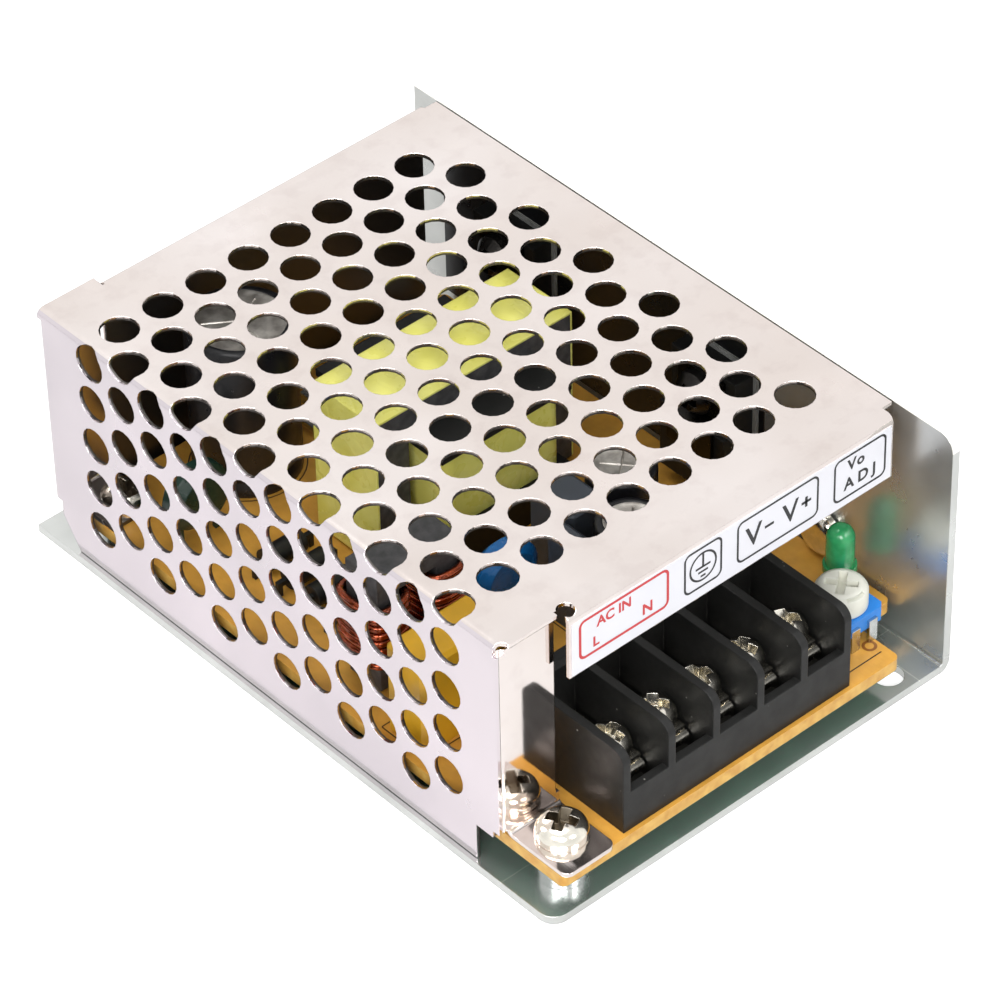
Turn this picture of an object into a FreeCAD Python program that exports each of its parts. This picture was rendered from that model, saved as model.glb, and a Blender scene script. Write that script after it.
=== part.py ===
# Enclosed switching power supply: an L-shaped aluminium chassis, a folded perforated cover,
# an amber circuit board on standoffs, a five-way barrier terminal block and the parts on the board.
# Millimetres. Origin at the bottom centre, +Z up, terminals at the front (-Y), chassis wall at +X.
import FreeCAD, Part
import math
import os
import re

import Sketcher
from FreeCAD import Placement, Rotation, Vector

doc = FreeCAD.newDocument("switching_power_supply")

# Driving dimensions
SIZES = [
    ("case_length", 85.0, "chassis, front to back"),
    ("case_width", 58.0, "chassis, side to side"),
    ("case_height", 33.0, "bottom of chassis to top of cover"),
    ("chassis_sheet", 1.0, "chassis aluminium thickness"),
    ("cover_sheet", 0.5, "cover aluminium thickness"),
    ("bend_inside", 0.5, "inner radius of every bend"),
    ("wall_drop", 0.2, "chassis wall stops below the cover top"),
    ("wall_corner", 2.0, "radius of the chassis wall's upper front corner"),
    ("base_corner", 2.0, "radius of the base's free front corner"),
    ("side_margin", 0.6, "base beyond the cover's side wall"),
    ("front_margin", 6.9, "base beyond the front lip"),
    ("back_margin", 2.6, "base beyond the back flange"),
    ("wall_gap", 0.3, "cover edge to chassis wall"),
    ("fit_gap", 0.2, "clearance of parts that stand side by side"),
    ("lip_height", 8.3, "front lip, top to lower edge"),
    ("lip_right_margin", 1.6, "lip end short of the cover edge"),
    ("flange_width", 7.9, "left front flange, side wall to free edge"),
    ("flange_setback", 1.8, "left front flange behind the lip"),
    ("overhang", 0.6, "top sheet beyond the left front flange"),
    ("relief_radius", 1.0, "corner relief holes of the cover"),
    ("slit_width", 0.5, "slit between flange and lip"),
    ("foot_inset", 1.4, "foot edge inside the side wall"),
    ("foot_reach", 8.6, "back foot, turned inwards"),
    ("step_length", 3.6, "side wall stops behind the flange near the base"),
    ("back_step", 0.6, "back wall in front of the back flange"),
    ("notch_gap", 0.3, "back flange to back wall"),
    ("back_gap", 2.2, "back wall short of the chassis wall"),
    ("hole_radius", 2.25, "perforation"),
    ("hole_sides", 18, "sides of each hole, close to round"),
    ("hole_pitch", 6.0, "perforation, hole to hole"),
    ("hole_front", 9.54, "lip face to first row"),
    ("hole_back", 7.0, "least distance of the last row from the back wall"),
    ("hole_right", 5.5, "least distance of a hole centre from the cover edge"),
    ("hole_low", 6.5, "least distance of a hole centre from the side wall's lower edge"),
    ("wrap_start", 1.4, "side face to the hole centre of the long rows"),
    ("standoff_height", 3.2, "base to board"),
    ("standoff_radius", 2.85, "standoff"),
    ("board_sheet", 1.6, "circuit board"),
    ("board_left_gap", 0.9, "board edge inside the side wall"),
    ("board_right_gap", 0.5, "board edge to chassis wall"),
    ("board_front_gap", 0.5, "board edge behind the base edge"),
    ("board_back_gap", 1.0, "board edge to back wall"),
    ("notch_width", 6.2, "front right notch of the board, chassis wall to board edge"),
    ("notch_length", 7.1, "front right notch of the board, front to back"),
    ("mount_radius", 1.75, "fixing holes of the base"),
    ("mount_inset", 2.9, "fixing holes to the front or back edge"),
    ("mount_side", 6.4, "fixing holes to the side"),
    ("base_thread_radius", 1.25, "tapped holes of the base, M3 core"),
    ("base_thread_spacing", 55.0, "tapped holes of the base"),
    ("well_pitch", 6.35, "terminal pitch"),
    ("barrier", 1.0, "terminal barrier thickness"),
    ("block_left", 10.3, "block end to the cover's side face"),
    ("block_setback", 1.0, "block face behind the base edge"),
    ("block_depth", 15.2, "terminal block, front to back"),
    ("block_height", 11.0, "terminal block above the board"),
    ("block_front_wall", 5.3, "low front wall above the board"),
    ("block_corner", 1.6, "upper front corner radius of the barriers"),
    ("trough_depth", 1.5, "trough in front of the terminal plates"),
    ("plate_level", 3.3, "underside of the terminal plates above the board"),
    ("plate_sheet", 0.8, "terminal plates"),
    ("plate_front", 3.1, "block face to plate edge"),
    ("plate_tongue", 1.3, "bent-down front edge of the plates"),
    ("screw_setback", 6.3, "block face to screw axis"),
    ("clamp_side", 4.9, "square clamp washer"),
    ("clamp_sheet", 0.8, "square clamp washer thickness"),
    ("lock_sheet", 0.6, "lock washer thickness"),
    ("lock_radius", 2.6, "lock washer"),
    ("clamp_lift", 2.4, "travel of screw and clamp washer"),
    ("screw_radius", 1.45, "screw shank, M3"),
    ("thread_clearance", 0.05, "shank to the hole that it turns in"),
    ("screw_hole_clearance", 0.2, "shank to a through hole"),
    ("head_radius", 2.9, "pan head of the board screws"),
    ("clip_head_radius", 2.6, "pan head of the clip screws"),
    ("head_height", 2.3, "pan head"),
    ("recess_width", 0.95, "cross recess slot"),
    ("recess_length", 3.3, "cross recess slot"),
    ("recess_depth", 1.2, "cross recess"),
    ("terminal_screw_length", 5.0, "shank below the head"),
    ("board_screw_length", 4.6, "shank below the head"),
    ("pot_side", 6.6, "trimmer base"),
    ("pot_base_height", 2.0, "trimmer base"),
    ("pot_standing", 1.8, "board to trimmer base"),
    ("pot_wall_gap", 4.5, "trimmer base to chassis wall"),
    ("pot_front", 4.2, "trimmer face behind the board edge"),
    ("rotor_radius", 2.95, "trimmer rotor"),
    ("rotor_height", 2.9, "trimmer rotor"),
    ("rotor_slot", 1.0, "screwdriver slot of the rotor"),
    ("leg_width", 1.2, "trimmer legs"),
    ("leg_sheet", 0.4, "trimmer legs"),
    ("leg_inset", 1.4, "trimmer leg to the side of the base"),
    ("lamp_radius", 1.6, "indicator lamp"),
    ("lamp_height", 6.3, "indicator lamp, flange to dome"),
    ("lamp_flange_radius", 1.9, "indicator lamp flange"),
    ("lamp_flange", 1.0, "indicator lamp flange thickness"),
    ("lamp_standing", 2.7, "board to lamp"),
    ("lamp_lead", 0.5, "square lamp lead"),
    ("lamp_lead_pitch", 1.27, "half the lead spacing"),
    ("core_length", 28.0, "transformer core, side to side"),
    ("core_thickness", 10.4, "transformer core, front to back"),
    ("core_height", 20.2, "transformer core above its board seat"),
    ("core_leg", 4.4, "outer leg of the core"),
    ("core_yoke", 3.6, "yoke of the core"),
    ("core_centre_leg", 7.2, "centre leg of the core"),
    ("coil_reach", 5.2, "coil beyond the core, front and back"),
    ("tape_sheet", 0.25, "tape wrap on the core"),
    ("bulk_radius", 6.25, "mains capacitor"),
    ("bulk_height", 20.5, "mains capacitor"),
    ("small_cap_radius", 4.0, "output capacitors"),
    ("small_cap_height", 12.0, "output capacitors"),
    ("box_cap_length", 12.6, "interference capacitor"),
    ("box_cap_thickness", 6.0, "interference capacitor"),
    ("box_cap_height", 12.2, "interference capacitor"),
    ("disc_radius", 4.4, "blue disc capacitor"),
    ("disc_thickness", 3.2, "blue disc capacitor"),
    ("choke_length", 11.2, "choke core, side to side"),
    ("choke_thickness", 5.0, "choke core, front to back"),
    ("choke_height", 15.8, "choke core"),
    ("choke_limb", 3.0, "limbs and bars of the choke core"),
    ("choke_wound", 1.4, "thickness of the choke windings"),
    ("inductor_side", 5.6, "output inductor"),
    ("inductor_depth", 7.0, "output inductor"),
    ("film_width", 3.0, "film capacitor"),
    ("film_depth", 4.4, "film capacitor"),
    ("tall_height", 12.1, "output inductor and film capacitor"),
    ("pad_sheet", 0.3, "insulating pad"),
    ("device_width", 10.0, "power device"),
    ("device_thickness", 4.4, "power device, lower part"),
    ("device_tab", 2.7, "power device, upper part"),
    ("device_height", 16.0, "power device"),
    ("device_step", 9.0, "power device, lower part"),
    ("device_standing", 2.2, "board to power device"),
    ("clip_sheet", 0.5, "spring clip"),
    ("clip_width", 7.0, "spring clip"),
    ("wall_head_radius", 2.9, "round head on the wall"),
    ("wall_head_height", 1.9, "round head on the wall"),
    ("fuse_length", 8.4, "fuse"),
    ("fuse_width", 4.0, "fuse"),
    ("fuse_height", 7.2, "fuse"),
    ("diode_radius", 1.35, "rectifier diodes"),
    ("diode_length", 5.2, "rectifier diodes"),
    ("diode_pitch", 4.0, "rectifier diodes"),
    ("resistor_radius", 1.15, "resistors"),
    ("resistor_length", 6.3, "resistors"),
    ("wire", 0.6, "leads and wire links"),
    ("thermistor_radius", 4.2, "thermistor"),
    ("thermistor_thickness", 3.4, "thermistor"),
]

# Places that follow from the dimensions
PLACES = [
    ("left_edge", "-case_width / 2", "base left edge"),
    ("front_edge", "-case_length / 2", "base front edge"),
    ("back_edge", "case_length / 2", "base back edge"),
    ("wall_inside", "case_width / 2 - chassis_sheet", "inner face of the chassis wall"),
    ("wall_top", "case_height - wall_drop", "top of the chassis wall"),
    ("bend_cover", "bend_inside + cover_sheet", "outer bend radius of the cover"),
    ("cover_left", "left_edge + side_margin", "outer face of the side wall"),
    ("cover_right", "wall_inside - wall_gap", "free edge of the cover"),
    ("cover_bottom", "chassis_sheet", "lower edge of the side wall"),
    ("lip_face", "front_edge + front_margin", "outer face of the lip"),
    ("lip_right", "cover_right - lip_right_margin", "right end of the lip"),
    ("lip_left", "cover_left + flange_width + slit_width", "left end of the lip"),
    ("flange_face", "lip_face + flange_setback", "outer face of the left front flange"),
    ("flange_edge", "cover_left + flange_width", "free edge of the left front flange"),
    ("back_flange_face", "back_edge - back_margin", "outer face of the left back flange"),
    ("back_face", "back_flange_face - back_step", "outer face of the back wall"),
    ("back_left", "cover_left + flange_width + notch_gap", "left edge of the back wall"),
    ("back_right", "wall_inside - back_gap", "free edge of the back wall"),
    ("board_bottom", "chassis_sheet + standoff_height", "underside of the board"),
    ("board_top", "board_bottom + board_sheet", "upper face of the board"),
    ("board_left", "cover_left + cover_sheet + board_left_gap", "board edge"),
    ("board_right", "wall_inside - board_right_gap", "board edge"),
    ("board_front", "front_edge + board_front_gap", "board edge"),
    ("board_back", "back_face - cover_sheet - board_back_gap", "board edge"),
    ("foot_left", "cover_left + foot_inset", "foot edge"),
    ("foot_right", "flange_edge + 0.5", "foot edge"),
    ("foot_top", "board_top + cover_sheet", "upper face of the foot"),
    ("foot_middle", "(foot_left + foot_right) / 2 + 0.4", "screw in the foot"),
    ("foot_screw", "(flange_face + front_edge) / 2 + 0.6", "screw in the foot"),
    ("back_screw", "board_back - 4", "screw in the back foot"),
    ("row_pitch", "hole_pitch * sqrt(3) / 2", "row to row"),
    ("row_pairs", "floor((back_face - lip_face - hole_front - hole_back) / (2 * row_pitch) + 0.5)", "pairs"),
    ("bend_middle", "bend_inside + cover_sheet / 2", "radius in the middle of the sheet"),
    ("bend_saving", "(2 - pi / 2) * bend_middle", "sharp corner less arc"),
    ("long_drop", "hole_pitch - wrap_start + bend_saving", "first side hole of the long rows below the top"),
    ("short_drop", "long_drop - hole_pitch / 2", "bend hole of the short rows below the top"),
    ("side_holes", "floor((case_height - cover_bottom - hole_low - long_drop) / hole_pitch) + 1", "holes"),
    ("first_row", "lip_face + hole_front", "front row of holes"),
    ("long_columns", "floor((cover_right - hole_right - cover_left - wrap_start) / hole_pitch) + 1", "holes"),
    ("block_edge", "cover_left + block_left", "left end of the block"),
    ("block_face", "front_edge + block_setback", "front face of the block"),
    ("block_back", "block_face + block_depth", "back of the block"),
    ("block_top", "board_top + block_height", "top of the barriers"),
    ("well_width", "well_pitch - barrier", "inside of a well"),
    ("first_well", "block_edge + barrier + well_width / 2", "middle of the first well"),
    ("terminal_head_radius", "well_width / 2 - 0.1", "pan head of the terminal screws"),
    ("plate_bottom", "board_top + plate_level", "underside of the plates"),
    ("plate_top", "plate_bottom + plate_sheet", "upper face of the plates"),
    ("screw_line", "block_face + screw_setback", "axis of the terminal screws"),
    ("clamp_bottom", "plate_top", "underside of the clamp washers"),
    ("head_seat", "clamp_bottom + clamp_sheet + lock_sheet", "underside of the screw heads"),
    ("pot_right", "wall_inside - pot_wall_gap", "trimmer base edge"),
    ("pot_face", "board_front + pot_front", "trimmer base face"),
    ("pot_middle", "pot_right - pot_side / 2", "trimmer axis"),
    ("pot_line", "pot_face + pot_side / 2", "trimmer axis"),
    ("pot_bottom", "board_top + pot_standing", "trimmer base underside"),
    ("pot_top", "pot_bottom + pot_base_height", "trimmer base top"),
    ("lamp_middle", "board_right - 2.7", "lamp axis"),
    ("lamp_line", "board_front + notch_length + 5.2", "lamp axis"),
    ("lamp_bottom", "board_top + lamp_standing", "lamp underside"),
    ("core_middle", "cover_left + 32.8", "transformer, side to side"),
    ("core_line", "back_face - 28.0", "transformer, front to back"),
    ("core_bottom", "board_top + 0.3", "underside of the core"),
    ("choke_left", "cover_left + 5.9", "choke core edge"),
    ("choke_front", "lip_face + 27.1", "choke core face"),
    ("rectifier_line", "lip_face + 27.6", "output rectifier, front to back"),
    ("transistor_line", "lip_face + 60", "power transistor, front to back"),
    ("device_bottom", "board_top + device_standing", "underside of the power devices"),
    ("device_screw", "device_bottom + device_height - 3.2", "screws of the power devices"),
    ("clip_face", "wall_inside - pad_sheet - device_tab - clip_sheet", "clip under the screw head"),
    ("wall_screw_line", "lip_face + 11.4", "round head on the wall"),
    ("wall_screw_level", "board_top + wall_head_radius + 0.15", "round head on the wall"),
]

sheet = doc.addObject("Spreadsheet::Sheet", "sizes")
for row, (alias, content, note) in enumerate(SIZES + PLACES, start=1):
    sheet.set(f"A{row}", note)
    sheet.set(f"B{row}", f"={content}" if isinstance(content, str) else str(content))
    sheet.setAlias(f"B{row}", alias)
doc.recompute()
NAMES = {alias for alias, content, note in SIZES + PLACES}
VALUES = {}
working = doc.addObject("Spreadsheet::Sheet", "working")


def formula(text):
    """Write the names in a formula as cells of the sheet."""
    return re.sub(r"[a-z_]+", lambda found: f"sizes.{found[0]}" if found[0] in NAMES else found[0], str(text))


def number(text):
    """The present value of a formula, worked out in a cell of its own."""
    if text not in VALUES:
        working.set("A1", f"={formula(text)}")
        working.recompute()
        VALUES[text] = float(getattr(working.get("A1"), "Value", working.get("A1")))
    return VALUES[text]


def bind(item, prop, text):
    item.setExpression(prop, formula(text))


def move(item, x="0", y="0", z="0"):
    bind(item, "Placement.Base.x", x)
    bind(item, "Placement.Base.y", y)
    bind(item, "Placement.Base.z", z)
    return item


# Sketches whose points follow the sheet
def new_body(name):
    body = doc.addObject("PartDesign::Body", name)
    body.Label = name
    return body


def new_sketch(body, role, name, offset="0"):
    sketch = body.newObject("Sketcher::SketchObject", name)
    plane = next(item for item in body.Origin.OriginFeatures if item.Role == role)
    sketch.AttachmentSupport = [(plane, "")]
    sketch.MapMode = "FlatFace"
    bind(sketch, "AttachmentOffset.Base.z", offset)
    return sketch


def hold(sketch, kind, *references, text):
    """Add one dimension and bind it."""
    index = sketch.addConstraint(Sketcher.Constraint(kind, *references, number(text)))
    bind(sketch, f"Constraints[{index}]", text)


def profile(sketch, corners):
    """A closed outline. A corner is (x, y), or (x, y, centre x, centre y, turn) where an arc starts."""
    first = sketch.GeometryCount
    places = [Vector(number(corner[0]), number(corner[1]), 0) for corner in corners]
    for index, corner in enumerate(corners):
        start = places[index]
        end = places[(index + 1) % len(corners)]
        if len(corner) == 2:
            sketch.addGeometry(Part.LineSegment(start, end))
            continue
        centre = Vector(number(corner[2]), number(corner[3]), 0)
        begin, finish = (start, end) if corner[4] == "left" else (end, start)
        angles = [math.atan2(spot.y - centre.y, spot.x - centre.x) for spot in (begin, finish)]
        if angles[1] < angles[0]:
            angles[1] += 2 * math.pi
        circle = Part.Circle(centre, Vector(0, 0, 1), (start - centre).Length)
        sketch.addGeometry(Part.ArcOfCircle(circle, *angles))
    ends = [(2, 1) if len(corner) > 2 and corner[4] == "right" else (1, 2) for corner in corners]
    for index in range(len(corners)):
        follower = (index + 1) % len(corners)
        joint = ("Coincident", first + index, ends[index][1], first + follower, ends[follower][0])
        sketch.addConstraint(Sketcher.Constraint(*joint))
    for index, corner in enumerate(corners):
        hold(sketch, "DistanceX", -1, 1, first + index, ends[index][0], text=corner[0])
        hold(sketch, "DistanceY", -1, 1, first + index, ends[index][0], text=corner[1])
        if len(corner) > 2:
            radius = f"sqrt(pow({corner[0]} - ({corner[2]}); 2) + pow({corner[1]} - ({corner[3]}); 2))"
            hold(sketch, "Radius", first + index, text=radius)


def rectangle(sketch, left, low, right, high):
    profile(sketch, [(left, low), (right, low), (right, high), (left, high)])


def circle(sketch, x, y, radius):
    index = sketch.addGeometry(Part.Circle(Vector(number(x), number(y), 0), Vector(0, 0, 1), number(radius)))
    hold(sketch, "DistanceX", -1, 1, index, 3, text=x)
    hold(sketch, "DistanceY", -1, 1, index, 3, text=y)
    hold(sketch, "Radius", index, text=radius)


def angle_profile(sketch, corner, leg, other, thickness, inside):
    """A bent strip: two legs from an outer corner, each (step x, step y, length)."""
    x, y = corner
    outside = f"({inside} + {thickness})"

    def spot(along, across):
        return (f"{x} + ({leg[0]}) * ({along}) + ({other[0]}) * ({across})",
                f"{y} + ({leg[1]}) * ({along}) + ({other[1]}) * ({across})")

    turn = "left" if leg[0] * other[1] - leg[1] * other[0] < 0 else "right"
    back = "right" if turn == "left" else "left"
    centre = spot(outside, outside)
    profile(sketch, [
        spot(leg[2], "0"), spot(outside, "0") + centre + (turn,), spot("0", outside), spot("0", other[2]),
        spot(thickness, other[2]), spot(thickness, outside) + centre + (back,), spot(outside, thickness),
        spot(leg[2], thickness)])


# Features of a body
def pad(sketch, name, length, flip=False):
    feature = sketch.getParentGeoFeatureGroup().newObject("PartDesign::Pad", name)
    feature.Profile = sketch
    feature.Reversed = flip
    bind(feature, "Length", length)
    return feature


def pocket(sketch, name, length, flip=False):
    feature = sketch.getParentGeoFeatureGroup().newObject("PartDesign::Pocket", name)
    feature.Profile = sketch
    feature.Reversed = flip
    bind(feature, "Length", length)
    return feature


def revolve(sketch, name):
    feature = sketch.getParentGeoFeatureGroup().newObject("PartDesign::Revolution", name)
    feature.Profile = sketch
    feature.ReferenceAxis = (sketch, ["V_Axis"])
    feature.Angle = 360
    return feature


def repeat(feature, name, role, length, count):
    body = feature.getParentGeoFeatureGroup()
    pattern = body.newObject("PartDesign::LinearPattern", name)
    pattern.Originals = [feature]
    axis = next(item for item in body.Origin.OriginFeatures if item.Role == role)
    pattern.Direction = (axis, [""])
    bind(pattern, "Length", length)
    bind(pattern, "Occurrences", count)
    body.Tip = pattern
    return pattern


def round_edges(feature, name, radius, chosen):
    """Fillet the edges of a feature that a test picks by their middle and direction."""
    doc.recompute()
    body = feature.getParentGeoFeatureGroup()
    edges = []
    for index, edge in enumerate(feature.Shape.Edges, start=1):
        middle = edge.CenterOfMass
        line = edge.Vertexes[-1].Point - edge.Vertexes[0].Point
        if line.Length > 0 and chosen(middle, line.normalize()):
            edges.append(f"Edge{index}")
    fillet = body.newObject("PartDesign::Fillet", name)
    fillet.Base = (feature, edges)
    bind(fillet, "Radius", radius)
    return fillet


def near(value, text):
    return abs(value - number(text)) < 0.01


# Primitives and booleans
def box(name, left, front, low, width, depth, height):
    item = doc.addObject("Part::Box", name)
    bind(item, "Length", width)
    bind(item, "Width", depth)
    bind(item, "Height", height)
    return move(item, left, front, low)


def rod(name, x, y, z, radius, length, axis="z"):
    item = doc.addObject("Part::Cylinder", name)
    bind(item, "Radius", radius)
    bind(item, "Height", length)
    item.Placement.Rotation = {"z": Rotation(), "x": Rotation(Vector(0, 1, 0), 90),
                               "y": Rotation(Vector(1, 0, 0), -90)}[axis]
    return move(item, x, y, z)


def cut(name, base, *tools):
    item = doc.addObject("Part::Cut", name)
    item.Base = base
    item.Tool = tools[0] if len(tools) == 1 else group(f"{name}_tools", *tools)
    item.Label = name
    return item


def fuse(name, *shapes):
    item = doc.addObject("Part::MultiFuse", name)
    item.Shapes = list(shapes)
    item.Label = name
    return item


def group(name, *shapes):
    item = doc.addObject("Part::Compound", name)
    item.Links = list(shapes)
    item.Label = name
    return item


def copy_at(name, master, x, y, z):
    return move(group(name, master), x, y, z)


def soften(name, base, radius, chosen, kind="Part::Chamfer"):
    """Chamfer or fillet picked edges of a boolean or primitive."""
    doc.recompute()
    item = doc.addObject(kind, name)
    item.Base = base
    size = number(radius)
    edges = []
    for index, edge in enumerate(base.Shape.Edges, start=1):
        line = edge.Vertexes[-1].Point - edge.Vertexes[0].Point
        if line.Length > 0 and chosen(edge.CenterOfMass, line.normalize()):
            edges.append((index, size, size))
    item.Edges = edges
    item.Label = name
    return item


def upright(middle, line):
    return abs(line.z) > 0.99


# Chassis: one sheet folded once, base and right wall
def make_chassis():
    body = new_body("chassis")
    section = new_sketch(body, "XZ_Plane", "chassis_section", "-back_edge")
    angle_profile(section, ("case_width / 2", "0"), (-1, 0, "case_width"), (0, 1, "wall_top"),
                  "chassis_sheet", "bend_inside")
    fold = pad(section, "chassis_fold", "case_length")
    base = round_edges(fold, "base_rounded", "base_corner",
                       lambda middle, line: upright(middle, line) and near(middle.x, "left_edge")
                       and near(middle.y, "front_edge"))
    round_edges(base, "wall_rounded", "wall_corner",
                lambda middle, line: abs(line.x) > 0.99 and near(middle.z, "wall_top")
                and middle.x > number("wall_inside") and near(middle.y, "front_edge"))
    holes = new_sketch(body, "XY_Plane", "base_holes", "chassis_sheet")
    for side, end in ((1, -1), (-1, 1)):
        circle(holes, f"{side} * (case_width / 2 - mount_side)", f"{end} * (case_length / 2 - mount_inset)",
               "mount_radius")
    for end in (-1, 1):
        circle(holes, "0", f"{end} * base_thread_spacing / 2", "base_thread_radius")
    pocket(holes, "drilled_base", "2 * chassis_sheet")
    threads = new_sketch(body, "YZ_Plane", "wall_threads", "case_width / 2 + 1")
    for y, z in (("rectifier_line", "device_screw"), ("transistor_line", "device_screw"),
                 ("wall_screw_line", "wall_screw_level")):
        circle(threads, y, z, "screw_radius + thread_clearance")
    pocket(threads, "tapped_wall", "chassis_sheet + 2")


# Cover: one perforated sheet with a side wall, a front lip, a back wall, two flanges and two feet
def make_cover():
    body = new_body("cover_sheet_metal")
    section = new_sketch(body, "XZ_Plane", "cover_section", "-(back_face - bend_cover)")
    angle_profile(section, ("cover_left", "case_height"), (1, 0, "cover_right - cover_left"),
                  (0, -1, "case_height - cover_bottom"), "cover_sheet", "bend_inside")
    pad(section, "cover_fold", "back_face - bend_cover - flange_face")
    edge = new_sketch(body, "XZ_Plane", "left_edge_section", "-back_flange_face")
    angle_profile(edge, ("cover_left", "case_height"), (1, 0, "lip_left - slit_width - cover_left"),
                  (0, -1, "bend_cover + 0.05"), "cover_sheet", "bend_inside")
    pad(edge, "left_edges", "back_flange_face - flange_face + overhang")

    lip = new_sketch(body, "YZ_Plane", "lip_section", "lip_left")
    angle_profile(lip, ("lip_face", "case_height"), (1, 0, "flange_setback + 1"),
                  (0, -1, "lip_height"), "cover_sheet", "bend_inside")
    pad(lip, "lip_fold", "lip_right - lip_left")
    back = new_sketch(body, "YZ_Plane", "back_section", "back_left")
    angle_profile(back, ("back_face", "case_height"), (-1, 0, "bend_cover + 1"),
                  (0, -1, "case_height - cover_bottom"), "cover_sheet", "bend_inside")
    pad(back, "back_fold", "back_right - back_left")

    flanges = (("front_flange", "flange_face", 1), ("back_flange", "back_flange_face", -1))
    for name, face, inwards in flanges:
        bent = new_sketch(body, "XY_Plane", f"{name}_section", "foot_top + bend_inside")
        angle_profile(bent, ("cover_left", face), (0, inwards, "2 * bend_cover"),
                      (1, 0, "flange_width"), "cover_sheet", "bend_inside")
        pad(bent, f"{name}_fold", "case_height - bend_cover - foot_top - bend_inside")
    foot = new_sketch(body, "YZ_Plane", "foot_section", "foot_left")
    angle_profile(foot, ("flange_face + cover_sheet", "board_top"),
                  (-1, 0, "flange_face + cover_sheet - front_edge"),
                  (0, 1, "bend_cover + 1"), "cover_sheet", "bend_inside")
    foot_fold = pad(foot, "foot_fold", "foot_right - foot_left")
    round_edges(foot_fold, "foot_corners", "1.0",
                lambda middle, line: upright(middle, line) and near(middle.y, "front_edge")
                and middle.z < number("foot_top"))
    inner_foot = new_sketch(body, "YZ_Plane", "inner_foot_section", "foot_left")
    angle_profile(inner_foot, ("back_flange_face", "board_top"), (-1, 0, "foot_reach"),
                  (0, 1, "bend_cover + 1"), "cover_sheet", "bend_inside")
    pad(inner_foot, "inner_foot_fold", "flange_edge - foot_left")

    trim_side_wall(body)
    relief = new_sketch(body, "XY_Plane", "relief_holes", "case_height + 1")
    circle(relief, "cover_left + 0.4", "flange_face - 0.5", "relief_radius")
    circle(relief, "lip_left + 0.7", "flange_face - 0.5", "relief_radius")
    pocket(relief, "relief", "2 + cover_sheet")
    screw = new_sketch(body, "XY_Plane", "foot_hole", "foot_top + 0.5")
    circle(screw, "foot_middle", "foot_screw", "screw_radius + screw_hole_clearance")
    circle(screw, "foot_middle", "back_screw", "screw_radius + screw_hole_clearance")
    pocket(screw, "foot_drilled", "1 + cover_sheet")
    cut("cover", body, perforation())


def trim_side_wall(body):
    """The side wall ends above the feet at both corners, and steps back in front."""
    top = "foot_top + bend_inside"
    front = new_sketch(body, "YZ_Plane", "side_front_cut", "cover_left - 1")
    profile(front, [("flange_face - 1", "0"), ("flange_face + step_length", "0"),
                    ("flange_face + step_length", "board_top + 0.1"),
                    ("flange_face + bend_cover", "board_top + 0.1"), ("flange_face + bend_cover", top),
                    ("flange_face - 1", top)])
    pocket(front, "side_front", "2.2", flip=True)
    rear = new_sketch(body, "YZ_Plane", "side_back_cut", "cover_left - 1")
    profile(rear, [("back_flange_face - bend_cover", top), ("back_flange_face - bend_cover", "board_top"),
                   ("back_flange_face - bend_cover - 4", "0"), ("back_flange_face + 1", "0"),
                   ("back_flange_face + 1", top)])
    pocket(rear, "side_back", "2.2", flip=True)


def punch(name, x, y, z, turn):
    """A many-sided prism, close to round, that cuts one hole of the perforation."""
    outline = doc.addObject("Part::RegularPolygon", f"{name}_outline")
    bind(outline, "Polygon", "hole_sides")
    bind(outline, "Circumradius", "hole_radius")
    outline.Placement.Rotation = turn
    move(outline, x, y, z)
    prism = doc.addObject("Part::Extrusion", name)
    prism.Base = outline
    prism.DirMode = "Normal"
    prism.Solid = True
    bind(prism, "LengthFwd", "2 + cover_sheet")
    return prism


def perforation():
    """Two staggered rows on the top and the side, repeated towards the back, and the holes in the bend."""
    long_row, short_row = "first_row", "first_row + row_pitch"
    downwards, inwards = Rotation(Vector(1, 0, 0), 180), Rotation(Vector(0, 1, 0), 90)
    level, side = "case_height + 1", "cover_left - 1"
    columns = int(number("long_columns"))
    pair = [punch(f"top_long_{column}", f"cover_left + wrap_start + {column} * hole_pitch", long_row, level,
                  downwards) for column in range(1, columns)]
    pair += [punch(f"top_short_{column}", f"cover_left + wrap_start + ({column} + 0.5) * hole_pitch",
                   short_row, level, downwards) for column in range(columns - 1)]
    for row, label, line, step in (("long_drop", "long", long_row, "0"), ("short_drop", "short", short_row, "1")):
        for index in range(int(number("side_holes"))):
            pair.append(punch(f"side_{label}_{index}", side, line,
                              f"case_height - ({row} + ({index} + {step}) * hole_pitch)", inwards))
    rows = group("hole_pair", *pair)
    pairs = int(number("row_pairs"))
    copies = [copy_at(f"hole_rows_{index}", rows, "0", f"{2 * index} * row_pitch", "0")
              for index in range(pairs)]
    wrapped = doc.addObject("Part::Feature", "wrapped_holes")
    wrapped.Shape = wrapped_holes(pairs)
    return group("perforation", *copies, wrapped)


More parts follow.
